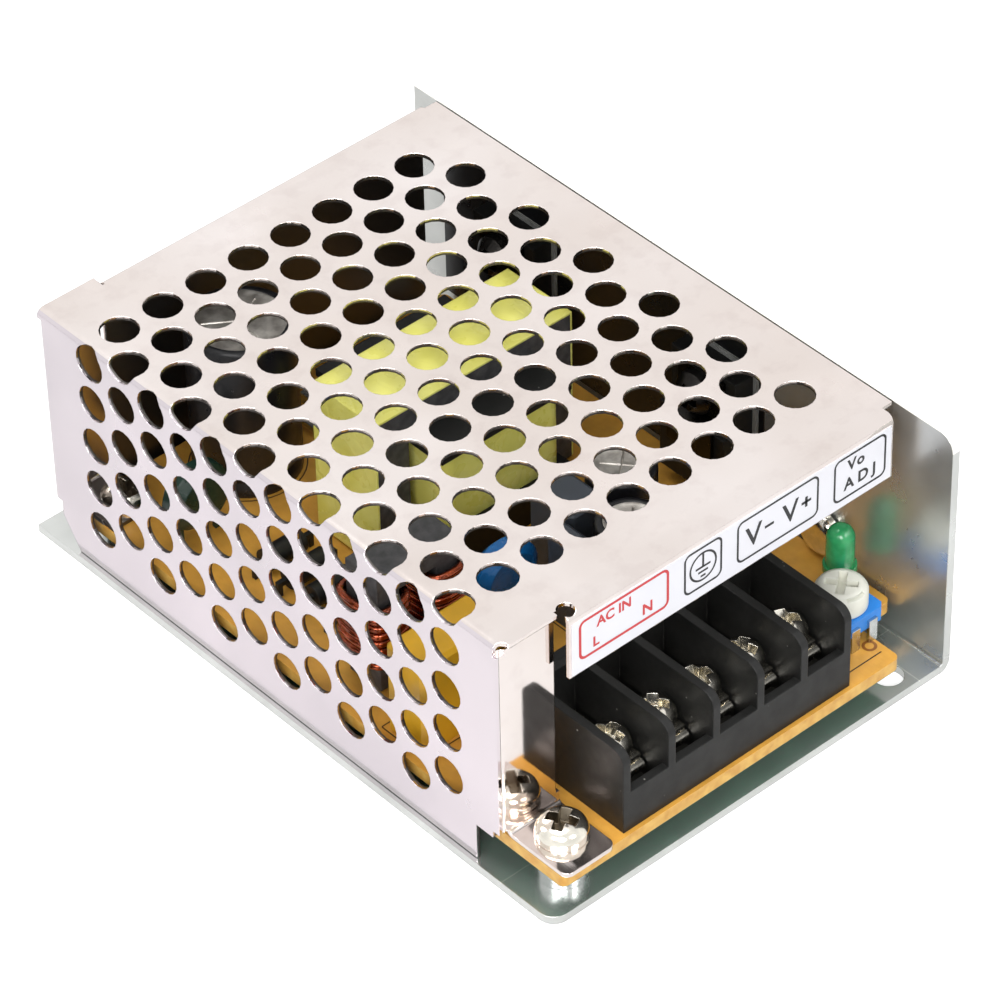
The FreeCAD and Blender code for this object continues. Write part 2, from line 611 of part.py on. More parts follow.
def wrapped_holes(pairs):
    """Cutters of the holes that run over the bend, round in the flat sheet and bent with it."""
    radius = number("hole_radius")
    outside = number("bend_cover")
    arc = number("bend_middle") * math.pi / 2
    corner = Vector(number("cover_left") + outside, 0, number("case_height") - outside)
    reach = number("cover_sheet + bend_inside * 0.9")

    def half_width(distance):
        return math.sqrt(max(radius ** 2 - distance ** 2, 0.0025))

    def section(flat, half, y):
        """A rectangle across the sheet at a flat distance from the start of the bend."""
        turn = min(max(-flat / number("bend_middle"), 0), math.pi / 2)
        normal = Vector(-math.sin(turn), 0, math.cos(turn))
        along = max(flat, 0) * Vector(1, 0, 0) + min(flat + arc, 0) * Vector(0, 0, 1)
        spot = corner + Vector(0, y, 0) + along + normal * outside
        outer, inner = spot + normal * 0.3, spot - normal * reach
        across = Vector(0, half, 0)
        return Part.makePolygon([outer - across, outer + across, inner + across, inner - across,
                                 outer - across])

    cutters = []
    steps = int(number("hole_sides")) // 2
    for index in range(pairs):
        for start, line in (("wrap_start", "first_row"), ("wrap_start - hole_pitch / 2", "first_row + row_pitch")):
            centre = number(start) - outside
            y = number(line) + 2 * index * number("row_pitch")
            offsets = {radius * math.cos(math.pi * step / steps) for step in range(steps + 1)}
            for edge in (0, -arc):
                offsets = {offset for offset in offsets if abs(centre + offset - edge) > 0.12}
                if abs(edge - centre) < radius:
                    offsets.add(edge - centre)
            wires = [section(centre + offset, half_width(offset), y) for offset in sorted(offsets)]
            cutters.append(Part.makeLoft(wires, True, True))
    return Part.makeCompound(cutters)


make_chassis()
make_cover()
label = box("label_strip", "lip_left + 0.3", "lip_face - 0.1", "case_height - lip_height + 0.2",
            "lip_right - lip_left - 0.6", "0.1", "lip_height - bend_cover - 0.3")
label.Label = "label_strip"


# Circuit board with its notch, screw holes and mains slot
def make_board():
    body = new_body("circuit_board")
    outline = new_sketch(body, "XY_Plane", "board_outline", "board_bottom")
    notch = "wall_inside - notch_width"
    profile(outline, [("board_left", "board_front"), (notch, "board_front"),
                      (notch, "board_front + notch_length"), ("board_right", "board_front + notch_length"),
                      ("board_right", "board_back"), ("board_left", "board_back")])
    plate = pad(outline, "board_plate", "board_sheet")
    round_edges(plate, "board_corners", "0.8", lambda middle, line: upright(middle, line)
                and not near(middle.y, "board_front + notch_length") or upright(middle, line)
                and near(middle.x, "board_right"))
    drilled = new_sketch(body, "XY_Plane", "board_holes", "board_top + 1")
    for x, y in BOARD_SCREWS:
        circle(drilled, x, y, "screw_radius + screw_hole_clearance")
    pocket(drilled, "board_drilled", "board_sheet + 2")


BOARD_SCREWS = [
    ("foot_middle", "foot_screw"),
    ("foot_middle", "back_screw"),
    ("board_right - 4", "back_screw"),
]
make_board()


# Standoffs: turned and swaged into the base
def make_standoff():
    body = new_body("standoff_master")
    section = new_sketch(body, "XZ_Plane", "standoff_section")
    profile(section, [("screw_radius + thread_clearance", "chassis_sheet"), ("standoff_radius", "chassis_sheet"),
                      ("standoff_radius", "board_bottom"), ("screw_radius + thread_clearance", "board_bottom")])
    revolve(section, "standoff_turned")
    return body


standoff = make_standoff()
group("standoffs", *[copy_at(f"standoff_{index}", standoff, x, y, "0")
                     for index, (x, y) in enumerate(BOARD_SCREWS, start=1)])


# Pan-head screws with a cross recess. The underside of the head is at z = 0
def make_screw(name, length, head):
    body = new_body(name)
    section = new_sketch(body, "XZ_Plane", f"{name}_section")
    profile(section, [("0", f"-({length})"), ("screw_radius", f"-({length})"), ("screw_radius", "0"),
                      (head, "0"), (head, "head_height * 0.45"),
                      (f"{head} - 1.1", "head_height"), ("0", "head_height")])
    revolve(section, f"{name}_turned")
    recess = new_sketch(body, "XY_Plane", f"{name}_recess", "head_height + 0.5")
    wide = "recess_width / 2"
    long = "recess_length / 2"
    corners = []
    for step_x, step_y in ((1, 1), (-1, 1), (-1, -1), (1, -1)):
        near_x, near_y = f"{step_x} * {wide}", f"{step_y} * {wide}"
        far_x, far_y = f"{step_x} * {long}", f"{step_y} * {long}"
        spots = [(far_x, near_y), (near_x, near_y), (near_x, far_y)]
        corners += spots if step_x * step_y > 0 else spots[::-1]
    profile(recess, corners)
    pocket(recess, f"{name}_cross", "recess_depth + 0.5")
    return body


terminal_screw = make_screw("terminal_screw_master", "terminal_screw_length", "terminal_head_radius")
board_screw = make_screw("board_screw_master", "board_screw_length", "head_radius")
seats = ["foot_top", "foot_top", "board_top"]
group("board_screws", *[copy_at(f"board_screw_{index}", board_screw, x, y, seat)
                        for index, ((x, y), seat) in enumerate(zip(BOARD_SCREWS, seats), start=1)])


# Barrier terminal block: five wells, low front wall, plate seats and screw bores
WELLS = 5


def make_block():
    body = new_body("terminal_block")
    side = new_sketch(body, "YZ_Plane", "block_side", "block_edge")
    rectangle(side, "block_face", "board_top", "block_back", "block_top")
    solid = pad(side, "block_solid", f"{WELLS} * well_pitch + barrier")
    round_edges(solid, "barrier_corners", "block_corner",
                lambda middle, line: near(middle.y, "block_face") and near(middle.z, "block_top"))
    wells = new_sketch(body, "YZ_Plane", "well_side", "block_edge + barrier")
    trough = "plate_bottom - trough_depth"
    profile(wells, [("block_face - 1", "board_top + block_front_wall"),
                    ("block_face + barrier", "board_top + block_front_wall"),
                    ("block_face + barrier", trough),
                    ("block_face + plate_front + plate_sheet + fit_gap", trough),
                    ("block_face + plate_front + plate_sheet + fit_gap", "plate_bottom"),
                    ("block_back - barrier", "plate_bottom"), ("block_back - barrier", "block_top + 1"),
                    ("block_face - 1", "block_top + 1")])
    well = pocket(wells, "well", "well_width", flip=True)
    repeat(well, "wells", "X_Axis", f"{WELLS - 1} * well_pitch", f"{WELLS}")
    bore = new_sketch(body, "XY_Plane", "bore_circle", "plate_bottom + 1")
    circle(bore, "first_well", "screw_line", "screw_radius + screw_hole_clearance")
    drilled = pocket(bore, "bore", "plate_bottom + 1 - (head_seat - terminal_screw_length - 0.3)")
    repeat(drilled, "bores", "X_Axis", f"{WELLS - 1} * well_pitch", f"{WELLS}")


make_block()


# Terminal plates: a strip with its front edge bent down and a tapped hole
def make_plate():
    body = new_body("plate_master")
    section = new_sketch(body, "YZ_Plane", "plate_section", "-(well_width / 2 - fit_gap)")
    angle_profile(section, ("block_face + plate_front", "plate_top"),
                  (1, 0, "block_depth - plate_front - barrier - fit_gap"),
                  (0, -1, "plate_sheet + plate_tongue"), "plate_sheet", "fit_gap")
    pad(section, "plate_fold", "well_width - 2 * fit_gap")
    tapped = new_sketch(body, "XY_Plane", "plate_hole", "plate_top + 1")
    circle(tapped, "0", "screw_line", "screw_radius + thread_clearance")
    pocket(tapped, "plate_tapped", "plate_sheet + 2")
    return body


# Square clamp washer with a split lock washer on it, carried by the screw. Its underside is at z = 0
def make_clamp():
    half = "clamp_side / 2"
    square = box("clamp_square", f"-{half}", f"-{half}", "0", "clamp_side", "clamp_side", "clamp_sheet")
    ring = rod("lock_ring", "0", "0", "clamp_sheet", "lock_radius", "lock_sheet")
    bored = rod("clamp_bore", "0", "0", "-1", "screw_radius + thread_clearance", "clamp_sheet + lock_sheet + 2")
    return cut("clamp_master", fuse("clamp_stack", square, ring), bored)


plate = make_plate()
clamp = make_clamp()
plates = []
for index in range(WELLS):
    x = f"first_well + {index} * well_pitch"
    plates.append(copy_at(f"plate_{index + 1}", plate, x, "0", "0"))
    copy_at(f"clamp_washer_{index + 1}", clamp, x, "screw_line", "clamp_bottom")
    copy_at(f"terminal_screw_{index + 1}", terminal_screw, x, "screw_line", "head_seat")
group("terminal_plates", *plates)


# Trimmer: square base on flat legs, with a slotted rotor that turns on it
def make_trimmer():
    block = box("pot_blank", "pot_right - pot_side", "pot_face", "pot_bottom", "pot_side", "pot_side",
                "pot_base_height")
    soften("trimmer_base", block, "0.5", upright)
    legs = []
    for index, (x, y) in enumerate((("pot_right - leg_inset - leg_width", "pot_face - leg_sheet"),
                                    ("pot_right - pot_side + leg_inset", "pot_face - leg_sheet"),
                                    ("pot_middle - leg_width / 2", "pot_face + pot_side")), start=1):
        legs.append(box(f"leg_{index}", x, y, "board_top", "leg_width", "leg_sheet",
                        "pot_standing + pot_base_height * 0.6"))
    group("trimmer_legs", *legs)
    body = new_body("trimmer_rotor")
    section = new_sketch(body, "XZ_Plane", "rotor_section")
    profile(section, [("0", "0"), ("rotor_radius", "0"), ("rotor_radius", "rotor_height - 0.8"),
                      ("rotor_radius - 0.8", "rotor_height"), ("0", "rotor_height")])
    revolve(section, "rotor_turned")
    slot = new_sketch(body, "XY_Plane", "rotor_slot_outline", "rotor_height + 0.5")
    rectangle(slot, "-rotor_radius * 0.72", "-rotor_slot / 2", "rotor_radius * 0.72", "rotor_slot / 2")
    pocket(slot, "rotor_slotted", "1.5")
    move(body, "pot_middle", "pot_line", "pot_top")


make_trimmer()


# Indicator lamp: a domed lens on two leads
def make_lamp():
    body = new_body("lamp_lens")
    section = new_sketch(body, "XZ_Plane", "lamp_section")
    shoulder = "lamp_height - lamp_radius"
    profile(section, [("0", "0"), ("lamp_flange_radius", "0"), ("lamp_flange_radius", "lamp_flange"),
                      ("lamp_radius", "lamp_flange"), ("lamp_radius", shoulder, "0", shoulder, "left"),
                      ("0", "lamp_height")])
    revolve(section, "lamp_turned")
    move(body, "lamp_middle", "lamp_line", "lamp_bottom")
    leads = []
    for index, step in enumerate((-1, 1), start=1):
        leads.append(box(f"lamp_lead_{index}", f"lamp_middle - lamp_lead / 2 + {step} * lamp_lead_pitch",
                         "lamp_line - lamp_lead / 2", "board_top", "lamp_lead", "lamp_lead", "lamp_standing"))
    group("lamp_leads", *leads)


make_lamp()


# Transformer: upright core, taped coil on a flanged bobbin, tape round the core
def make_transformer():
    left = "core_middle - core_length / 2"
    front = "core_line - core_thickness / 2"
    outer = box("core_block", left, front, "core_bottom", "core_length", "core_thickness", "core_height")
    window = "(core_length - 2 * core_leg - core_centre_leg) / 2"
    windows = []
    for name, x in (("core_window_left", f"{left} + core_leg"),
                    ("core_window_right", "core_middle + core_centre_leg / 2")):
        windows.append(box(name, x, f"{front} - 1", "core_bottom + core_yoke", window, "core_thickness + 2",
                           "core_height - 2 * core_yoke"))
    cut("transformer_core", outer, *windows)

    coil_width = "core_length - 2 * core_leg - 2 * fit_gap"
    coil_depth = "core_thickness + 2 * coil_reach"
    coil_left = f"core_middle - ({coil_width}) / 2"
    coil_front = f"core_line - ({coil_depth}) / 2"
    low = "core_bottom + core_yoke + fit_gap"
    tall = "core_height - 2 * core_yoke - 2 * fit_gap"

    def passage(name):
        return box(name, "core_middle - core_centre_leg / 2 - fit_gap", f"{front} - fit_gap",
                   "core_bottom", "core_centre_leg + 2 * fit_gap", "core_thickness + 2 * fit_gap",
                   "core_height")

    flanges = []
    for name, z in (("bobbin_low", low), ("bobbin_high", f"{low} + {tall} - 1")):
        flanges.append(box(name, coil_left, coil_front, z, coil_width, coil_depth, "1"))
    pins = box("bobbin_pins", coil_left, coil_front, "board_top", coil_width, "coil_reach - fit_gap",
               f"{low} - board_top")
    pins_back = box("bobbin_pins_back", coil_left, "core_line + core_thickness / 2 + fit_gap", "board_top",
                    coil_width, "coil_reach - fit_gap", f"{low} - board_top")
    tube = box("bobbin_tube", "core_middle - core_centre_leg / 2 - fit_gap - 0.8",
               f"{front} - fit_gap - 0.8", low, "core_centre_leg + 2 * fit_gap + 1.6",
               "core_thickness + 2 * fit_gap + 1.6", tall)
    cut("transformer_bobbin", fuse("bobbin_solid", tube, *flanges, pins, pins_back), passage("bobbin_passage"))
    winding = soften("winding_block", box("winding_blank", f"{coil_left} + 0.8", f"{coil_front} + 0.8",
                                          f"{low} + 1", f"{coil_width} - 1.6", f"{coil_depth} - 1.6",
                                          f"{tall} - 2"), "1.5", upright, "Part::Fillet")
    hollow = box("winding_hollow", "core_middle - core_centre_leg / 2 - fit_gap - 0.8",
                 f"{front} - fit_gap - 0.8", low, "core_centre_leg + 2 * fit_gap + 1.6",
                 "core_thickness + 2 * fit_gap + 1.6", tall)
    cut("transformer_coil", winding, hollow)
    band = box("tape_block", f"{left} - tape_sheet", front, "core_bottom", "core_length + 2 * tape_sheet",
               "core_thickness", "core_height + tape_sheet")
    inner = box("tape_inside", left, f"{front} - 1", "core_bottom - 1", "core_length",
                "core_thickness + 2", "core_height + 1")
    cut("transformer_tape", band, inner)


make_transformer()


# Can capacitors: beaded near the base, sleeve turned over a scored top
def make_can(name, radius, height):
    body = new_body(name)
    section = new_sketch(body, "XZ_Plane", f"{name}_section")
    profile(section, [("0", "0"), (radius, "0"), (radius, "1.6"), (f"{radius} - 0.35", "2.0"),
                      (radius, "2.4"), (radius, f"{height} - 0.4"), (f"{radius} - 0.5", height),
                      ("0", height)])
    revolve(section, f"{name}_turned")
    return body


bulk = make_can("bulk_capacitor", "bulk_radius", "bulk_height")
move(bulk, "cover_left + 19.9", "back_face - 9.1", "board_top")
small_can = make_can("small_can_master", "small_cap_radius", "small_cap_height")
group("output_capacitors",
      copy_at("output_capacitor_1", small_can, "wall_inside - 15.8", "lip_face + 28.5", "board_top"),
      copy_at("output_capacitor_2", small_can, "wall_inside - 21.4", "lip_face + 19.4", "board_top"))


# Interference capacitors: a yellow box and a blue disc
box_cap = soften("x_capacitor", box("box_cap_blank", "board_left + 1.6", "lip_face + 16.8", "board_top",
                                    "box_cap_length", "box_cap_thickness", "box_cap_height"), "0.5",
                 lambda middle, line: middle.z > number("board_top") + 0.1)


def make_disc(name, radius, thickness, x, y, centre, lead_step):
    """A round flat part standing on two leads, its axis along Y."""
    body = new_body(f"{name}_disc")
    section = new_sketch(body, "XZ_Plane", f"{name}_section")
    rim, face, edge = f"{radius} * 0.75", f"{thickness} / 2", f"{thickness} / 5"
    profile(section, [("0", f"-{face}"), (rim, f"-{face}"), (radius, f"-{edge}"), (radius, edge),
                      (rim, face), ("0", face)])
    revolve(section, f"{name}_turned")
    body.Placement.Rotation = Rotation(Vector(1, 0, 0), 90)
    move(body, x, y, f"board_top + {centre}")
    leads = [box(f"{name}_lead_{index}", f"{x} - wire / 2 + {side} * {lead_step}", f"{y} - wire / 2",
                 "board_top", "wire", "wire", centre) for index, side in ((1, -1), (2, 1))]
    fuse(name, body, *leads)


make_disc("y_capacitor", "disc_radius", "disc_thickness", "cover_left + 23.5", "lip_face + 27.1", "6.4", "2.5")
make_disc("thermistor", "thermistor_radius", "thermistor_thickness", "cover_left + 7.9", "back_face - 15",
          "6.2", "2.5")



# Choke: an upright ferrite frame with a winding on each limb
def make_choke():
    low = "board_top + 0.3"
    frame = box("choke_block", "choke_left", "choke_front", low, "choke_length", "choke_thickness",
                "choke_height")
    window = box("choke_window", "choke_left + choke_limb", "choke_front - 1", f"{low} + choke_limb",
                 "choke_length - 2 * choke_limb", "choke_thickness + 2", "choke_height - 2 * choke_limb")
    cut("choke_core", frame, window)
    windings = []
    wound = "(choke_wound + fit_gap)"
    for index, x in enumerate(("choke_left", "choke_left + choke_length - choke_limb"), start=1):
        level = f"{low} + choke_limb + fit_gap"
        tall = "choke_height - 2 * choke_limb - 2 * fit_gap"
        block = box(f"coil_blank_{index}", f"{x} - {wound}", f"choke_front - {wound}", level,
                    f"choke_limb + 2 * {wound}", f"choke_thickness + 2 * {wound}", tall)
        rounded = soften(f"coil_rounded_{index}", block, "1.2", upright, "Part::Fillet")
        hollow = box(f"coil_hollow_{index}", f"{x} - fit_gap", "choke_front - fit_gap", f"{level} - 1",
                     "choke_limb + 2 * fit_gap", "choke_thickness + 2 * fit_gap", f"{tall} + 2")
        windings.append(cut(f"coil_{index}", rounded, hollow))
    group("choke_windings", *windings)


make_choke()


# Box-shaped parts between the output capacitors
soften("output_inductor", box("inductor_blank", "wall_inside - 25.9", "lip_face + 24.2", "board_top",
                              "inductor_side", "inductor_depth", "tall_height"), "0.8",
       lambda middle, line: middle.z > number("board_top") + 0.1)
soften("film_capacitor", box("film_blank", "wall_inside - 29.2", "lip_face + 20.4", "board_top",
                             "film_width", "film_depth", "tall_height"), "0.8",
       lambda middle, line: middle.z > number("board_top") + 0.1)


# Power devices on the wall: pad, moulded device on its leads, spring clip and screw
def make_devices():
    back = "wall_inside - pad_sheet"
    pads, clips, screws = [], [], []
    master = make_screw("clip_screw_master", "case_width / 2 - 0.1 - clip_face", "clip_head_radius")
    for name, line in (("output_rectifier", "rectifier_line"), ("power_transistor", "transistor_line")):
        pads.append(box(f"{name}_pad", back, f"{line} - device_width / 2 - 0.5", "device_bottom",
                        "pad_sheet", "device_width + 1", "device_height + 0.5"))
        body = new_body(f"{name}_moulding")
        section = new_sketch(body, "XZ_Plane", f"{name}_section", f"-({line} + device_width / 2)")
        profile(section, [(back, "device_bottom"), (back, "device_bottom + device_height"),
                          (f"{back} - device_tab", "device_bottom + device_height"),
                          (f"{back} - device_tab", "device_bottom + device_step"),
                          (f"{back} - device_thickness", "device_bottom + device_step"),
                          (f"{back} - device_thickness", "device_bottom")])
        pad(section, f"{name}_solid", "device_width")
        bore = new_sketch(body, "YZ_Plane", f"{name}_bore", f"{back} + 1")
        circle(bore, line, "device_screw", "screw_radius + screw_hole_clearance")
        pocket(bore, f"{name}_bored", "device_thickness + 2")
        leads = [box(f"{name}_lead_{step + 2}", f"{back} - 2", f"{line} - wire / 2 + {step} * 2.54",
                     "board_top", "wire", "wire", "device_standing") for step in (-1, 0, 1)]
        fuse(name, body, *leads)

        clip = new_body(f"{name}_clip")
        bent = new_sketch(clip, "XZ_Plane", f"{name}_clip_section", f"-({line} + clip_width / 2)")
        tab = f"{back} - device_tab"
        front = f"{back} - device_thickness"
        top = "device_bottom + device_height - 0.6"
        bend = "device_bottom + device_step"
        profile(bent, [(tab, top), (f"{tab} - clip_sheet", top), (f"{tab} - clip_sheet", f"{bend} + 1"),
                       (f"{front} - clip_sheet", f"{bend} + 0.3"), (f"{front} - clip_sheet", f"{bend} - 4"),
                       (front, f"{bend} - 4"), (front, f"{bend} + 0.1"), (tab, f"{bend} + 0.7")])
        pad(bent, f"{name}_clip_solid", "clip_width")
        hole = new_sketch(clip, "YZ_Plane", f"{name}_clip_hole", f"{tab} + 1")
        circle(hole, line, "device_screw", "screw_radius + screw_hole_clearance")
        pocket(hole, f"{name}_clip_bored", "clip_sheet + 2")
        clips.append(clip)

        turned = group(f"{name}_screw", master)
        turned.Placement.Rotation = Rotation(Vector(0, 1, 0), -90)
        screws.append(move(turned, "clip_face", line, "device_screw"))
    bored_pads = []
    for item, line in zip(pads, ("rectifier_line", "transistor_line")):
        bore = rod(f"{item.Name}_bore", f"{back} - 1", line, "device_screw",
                   "screw_radius + screw_hole_clearance", "pad_sheet + 2", "x")
        bored_pads.append(cut(f"{item.Name}_bored", item, bore))
    group("insulator_pads", *bored_pads)
    group("spring_clips", *clips)
    group("clip_screws", *screws)


make_devices()


# Round-headed screw on the inner face of the wall
def make_wall_screw():
    body = new_body("wall_screw_turned")
    section = new_sketch(body, "XZ_Plane", "wall_screw_section")
    profile(section, [("0", "-chassis_sheet + 0.1"), ("screw_radius", "-chassis_sheet + 0.1"),
                      ("screw_radius", "0"), ("wall_head_radius", "0"),
                      ("wall_head_radius", "wall_head_height * 0.45"),
                      ("wall_head_radius * 0.6", "wall_head_height"), ("0", "wall_head_height")])
    revolve(section, "wall_screw_form")
    screw = group("wall_screw", body)
    screw.Placement.Rotation = Rotation(Vector(0, 1, 0), -90)
    move(screw, "wall_inside", "wall_screw_line", "wall_screw_level")


make_wall_screw()


# Small parts on the board
def axial(name, x, y, radius, length, standing):
    """A part lying along X on two bent leads."""
    body = rod(f"{name}_body", x, y, f"board_top + {standing} + {radius}", radius, length, "x")
    level = f"board_top + {standing} + {radius}"
    reach = "1.6"
    parts = [body]
    for side, start in (("left", f"{x} - {reach}"), ("right", f"{x} + {length}")):
        parts.append(box(f"{name}_{side}_lead", start, f"{y} - wire / 2", f"{level} - wire / 2",
                         reach, "wire", "wire"))
    parts.append(box(f"{name}_left_leg", f"{x} - {reach}", f"{y} - wire / 2", "board_top", "wire", "wire",
                     f"{level} - board_top"))
    parts.append(box(f"{name}_right_leg", f"{x} + {length} + {reach} - wire", f"{y} - wire / 2", "board_top",
                     "wire", "wire", f"{level} - board_top"))
    return fuse(name, *parts)


def make_small_parts():
    group("rectifier_diodes", *[
        axial(f"diode_{index + 1}", "cover_left + 9.4", f"lip_face + 38.4 + {index} * diode_pitch",
              "diode_radius", "diode_length", "0.3") for index in range(4)])
    group("resistors", *[
        axial(f"resistor_{index + 1}", "wall_inside - 22", f"block_back + 2 + {index} * 2.8",
              "resistor_radius", "resistor_length", "0.3") for index in range(2)])
    soften("fuse", box("fuse_blank", "block_edge + 4.1", "block_back + 0.7", "board_top", "fuse_length",
                       "fuse_width", "fuse_height"), "0.5",
           lambda middle, line: middle.z > number("board_top") + 0.1)
    legs = [box(f"opto_leg_{index}", f"block_edge + {x}", f"block_back + {y}", "board_top", "0.25", "1.2",
                "2.2") for index, (x, y) in enumerate(((14.85, 1.6), (14.85, 4.2), (19.7, 1.6), (19.7, 4.2)))]
    opto = box("opto_blank", "block_edge + 15.1", "block_back + 1.2", "board_top + 0.6", "4.6", "4.6", "3.5")
    fuse("optocoupler", opto, *legs)
    links = []
    for index, x in enumerate((28.0, 31.0, 34.0), start=1):
        start = f"cover_left + {x}"
        links.append(fuse(f"link_{index}",
                          box(f"link_{index}_top", start, "back_face - 13", "board_top + 0.8", "wire", "8", "wire"),
                          box(f"link_{index}_front", start, "back_face - 13", "board_top", "wire", "wire", "1"),
                          box(f"link_{index}_back", start, "back_face - 5 - wire", "board_top", "wire", "wire",
                              "1")))
    group("wire_links", *links)


make_small_parts()
doc.removeObject("working")
doc.recompute()

EXPORTED = [
    "chassis", "cover", "label_strip", "circuit_board", "standoffs", "board_screws", "terminal_block",
    "terminal_plates", "trimmer_base", "trimmer_legs", "trimmer_rotor", "lamp_lens", "lamp_leads",
    "transformer_core", "transformer_bobbin", "transformer_coil", "transformer_tape", "bulk_capacitor",
    "output_capacitors", "x_capacitor", "y_capacitor", "choke_core", "choke_windings", "output_inductor",
    "film_capacitor", "output_rectifier", "power_transistor", "insulator_pads", "spring_clips", "clip_screws",
    "wall_screw", "rectifier_diodes", "resistors", "fuse", "optocoupler", "wire_links", "thermistor",
]
for index in range(1, WELLS + 1):
    EXPORTED += [f"clamp_washer_{index}", f"terminal_screw_{index}"]


# Check and write
def write_parts():
    faults = [item.Label for item in doc.Objects if "Invalid" in item.State or "Error" in item.State]
    if faults:
        raise RuntimeError(f"objects that failed: {faults}")
    os.makedirs("parts", exist_ok=True)
    for name in EXPORTED:
        shape = doc.getObjectsByLabel(name)[0].Shape
        if shape.isNull() or not shape.isValid():
            raise RuntimeError(f"{name} has no valid shape")
        shape.exportStep(f"parts/{name}.step")
        bounds = shape.BoundBox
        print(f"{name}: {len(shape.Solids)} solid(s), {shape.Volume:.1f} mm3, "
              f"x {bounds.XMin:.2f} to {bounds.XMax:.2f}, y {bounds.YMin:.2f} to {bounds.YMax:.2f}, "
              f"z {bounds.ZMin:.2f} to {bounds.ZMax:.2f}")


write_parts()
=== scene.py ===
"""Enclosed switching power supply: finishes, small shapes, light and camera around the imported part."""

import math

import bmesh
import bpy
from bpy.props import FloatProperty, FloatVectorProperty, IntProperty, PointerProperty
from bpy.types import Operator, Panel, PropertyGroup
from mathutils import Matrix, Vector


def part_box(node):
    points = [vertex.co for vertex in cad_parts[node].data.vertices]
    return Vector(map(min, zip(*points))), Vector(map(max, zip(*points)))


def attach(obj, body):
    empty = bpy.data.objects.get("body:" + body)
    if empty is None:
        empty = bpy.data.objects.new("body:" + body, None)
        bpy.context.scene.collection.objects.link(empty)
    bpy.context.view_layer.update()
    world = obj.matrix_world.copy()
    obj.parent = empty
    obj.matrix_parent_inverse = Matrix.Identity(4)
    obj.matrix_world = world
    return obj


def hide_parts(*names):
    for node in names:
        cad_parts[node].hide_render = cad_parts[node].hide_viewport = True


bl_info = {
    "name": "Switching power supply",
    "version": (1, 0, 0),
    "blender": (4, 5, 0),
    "location": "View3D > Sidebar > Supply",
    "description": "Finishes and fine shapes of a small switching power supply",
    "category": "Object",
}

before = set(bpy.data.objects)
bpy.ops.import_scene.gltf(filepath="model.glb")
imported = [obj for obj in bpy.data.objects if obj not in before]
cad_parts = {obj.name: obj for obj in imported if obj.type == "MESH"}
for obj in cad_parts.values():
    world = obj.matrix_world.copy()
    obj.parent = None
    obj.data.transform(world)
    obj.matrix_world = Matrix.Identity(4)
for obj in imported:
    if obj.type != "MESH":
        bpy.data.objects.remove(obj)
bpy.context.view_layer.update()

MM = 0.001
BODY = "supply"
TERMINALS = 5
# The outer face of the cover's stepped back wall, along Y
BACK_WALL = 39.3 * MM
# The camera fitted to the photo, with its turns in degrees
CAMERA_PLACE = (-0.287146, -0.331167, 0.395038)
CAMERA_TURNS = (49.00456, 0.99297, -42.02355)


# Helpers for lengths, colours and material nodes
def mm(*values):
    """Lengths in metres from lengths in millimetres."""
    return [value * MM for value in values]


def centre_of(low, high):
    return (Vector(low) + Vector(high)) / 2


def round_shape(low, high):
    """The centre of a box, with the radius and the height of the round body in it in millimetres."""
    return centre_of(low, high), (high[0] - low[0]) / 2 / MM, (high[2] - low[2]) / MM


def shift(x, y, z):
    return Matrix.Translation((x, y, z))


def spin(degrees, axis="Z"):
    return Matrix.Rotation(math.radians(degrees), 4, axis)


def linear(code):
    """The linear values of an sRGB hex colour."""
    parts = [int(code[start:start + 2], 16) / 255 for start in (0, 2, 4)]
    return (*(part / 12.92 if part <= 0.04045 else ((part + 0.055) / 1.055) ** 2.4 for part in parts), 1.0)


def shade(colour, factor):
    """A colour made lighter or darker, with its alpha kept."""
    return tuple(min(part * factor, 1) for part in colour[:3]) + (1.0,)


def colour_property(name, description, code):
    return FloatVectorProperty(name=name, description=description, subtype="COLOR", size=3, min=0, max=1,
                               default=linear(code)[:3])


def length_property(name, description, default):
    """A length that is stored in metres and given here in millimetres."""
    return FloatProperty(name=name, description=description, default=default * MM, unit="LENGTH",
                         precision=5)


def power_property(name, place, default):
    """The power of a soft light, in watts."""
    return FloatProperty(name=name, description=f"Power of the soft light {place}, in watts", default=default,
                         min=0)


def add(tree, kind, links=None, **settings):
    """Adds a node with its settings, and links or sets its inputs."""
    node = tree.nodes.new(kind)
    for name, value in settings.items():
        setattr(node, name, value)
    for socket, value in (links or {}).items():
        if isinstance(value, bpy.types.NodeSocket):
            tree.links.new(value, node.inputs[socket])
        else:
            node.inputs[socket].default_value = value
    return node


def begin(name):
    """An empty material, its tree and its Object coordinates."""
    material = bpy.data.materials.new(name)
    material.use_nodes = True
    tree = material.node_tree
    tree.nodes.clear()
    return material, tree, add(tree, "ShaderNodeTexCoord").outputs["Object"]


def close(material, tree, links):
    """Ends a material with its surface shader."""
    shader = add(tree, "ShaderNodeBsdfPrincipled", links)
    add(tree, "ShaderNodeOutputMaterial", {"Surface": shader.outputs["BSDF"]})
    return material


def axes_of(tree, place):
    return add(tree, "ShaderNodeSeparateXYZ", {"Vector": place}).outputs


def combine(tree, operation, first, second):
    return add(tree, "ShaderNodeMath", {0: first, 1: second}, operation=operation).outputs["Value"]


def blended(tree, share, first, second, mode="MIX"):
    """The first colour or value where the share is zero, and the second where it is one."""
    mix = add(tree, "ShaderNodeMix", {"Factor": share, "A": first, "B": second}, data_type="RGBA",
              blend_type=mode)
    return mix.outputs["Result"]


def ranged(tree, value, low, high, first=0.0, second=1.0):
    """A value brought from the range between two numbers to another range, and held inside it."""
    return add(tree, "ShaderNodeMapRange", {"Value": value, "From Min": low, "From Max": high,
                                            "To Min": first, "To Max": second}).outputs["Result"]


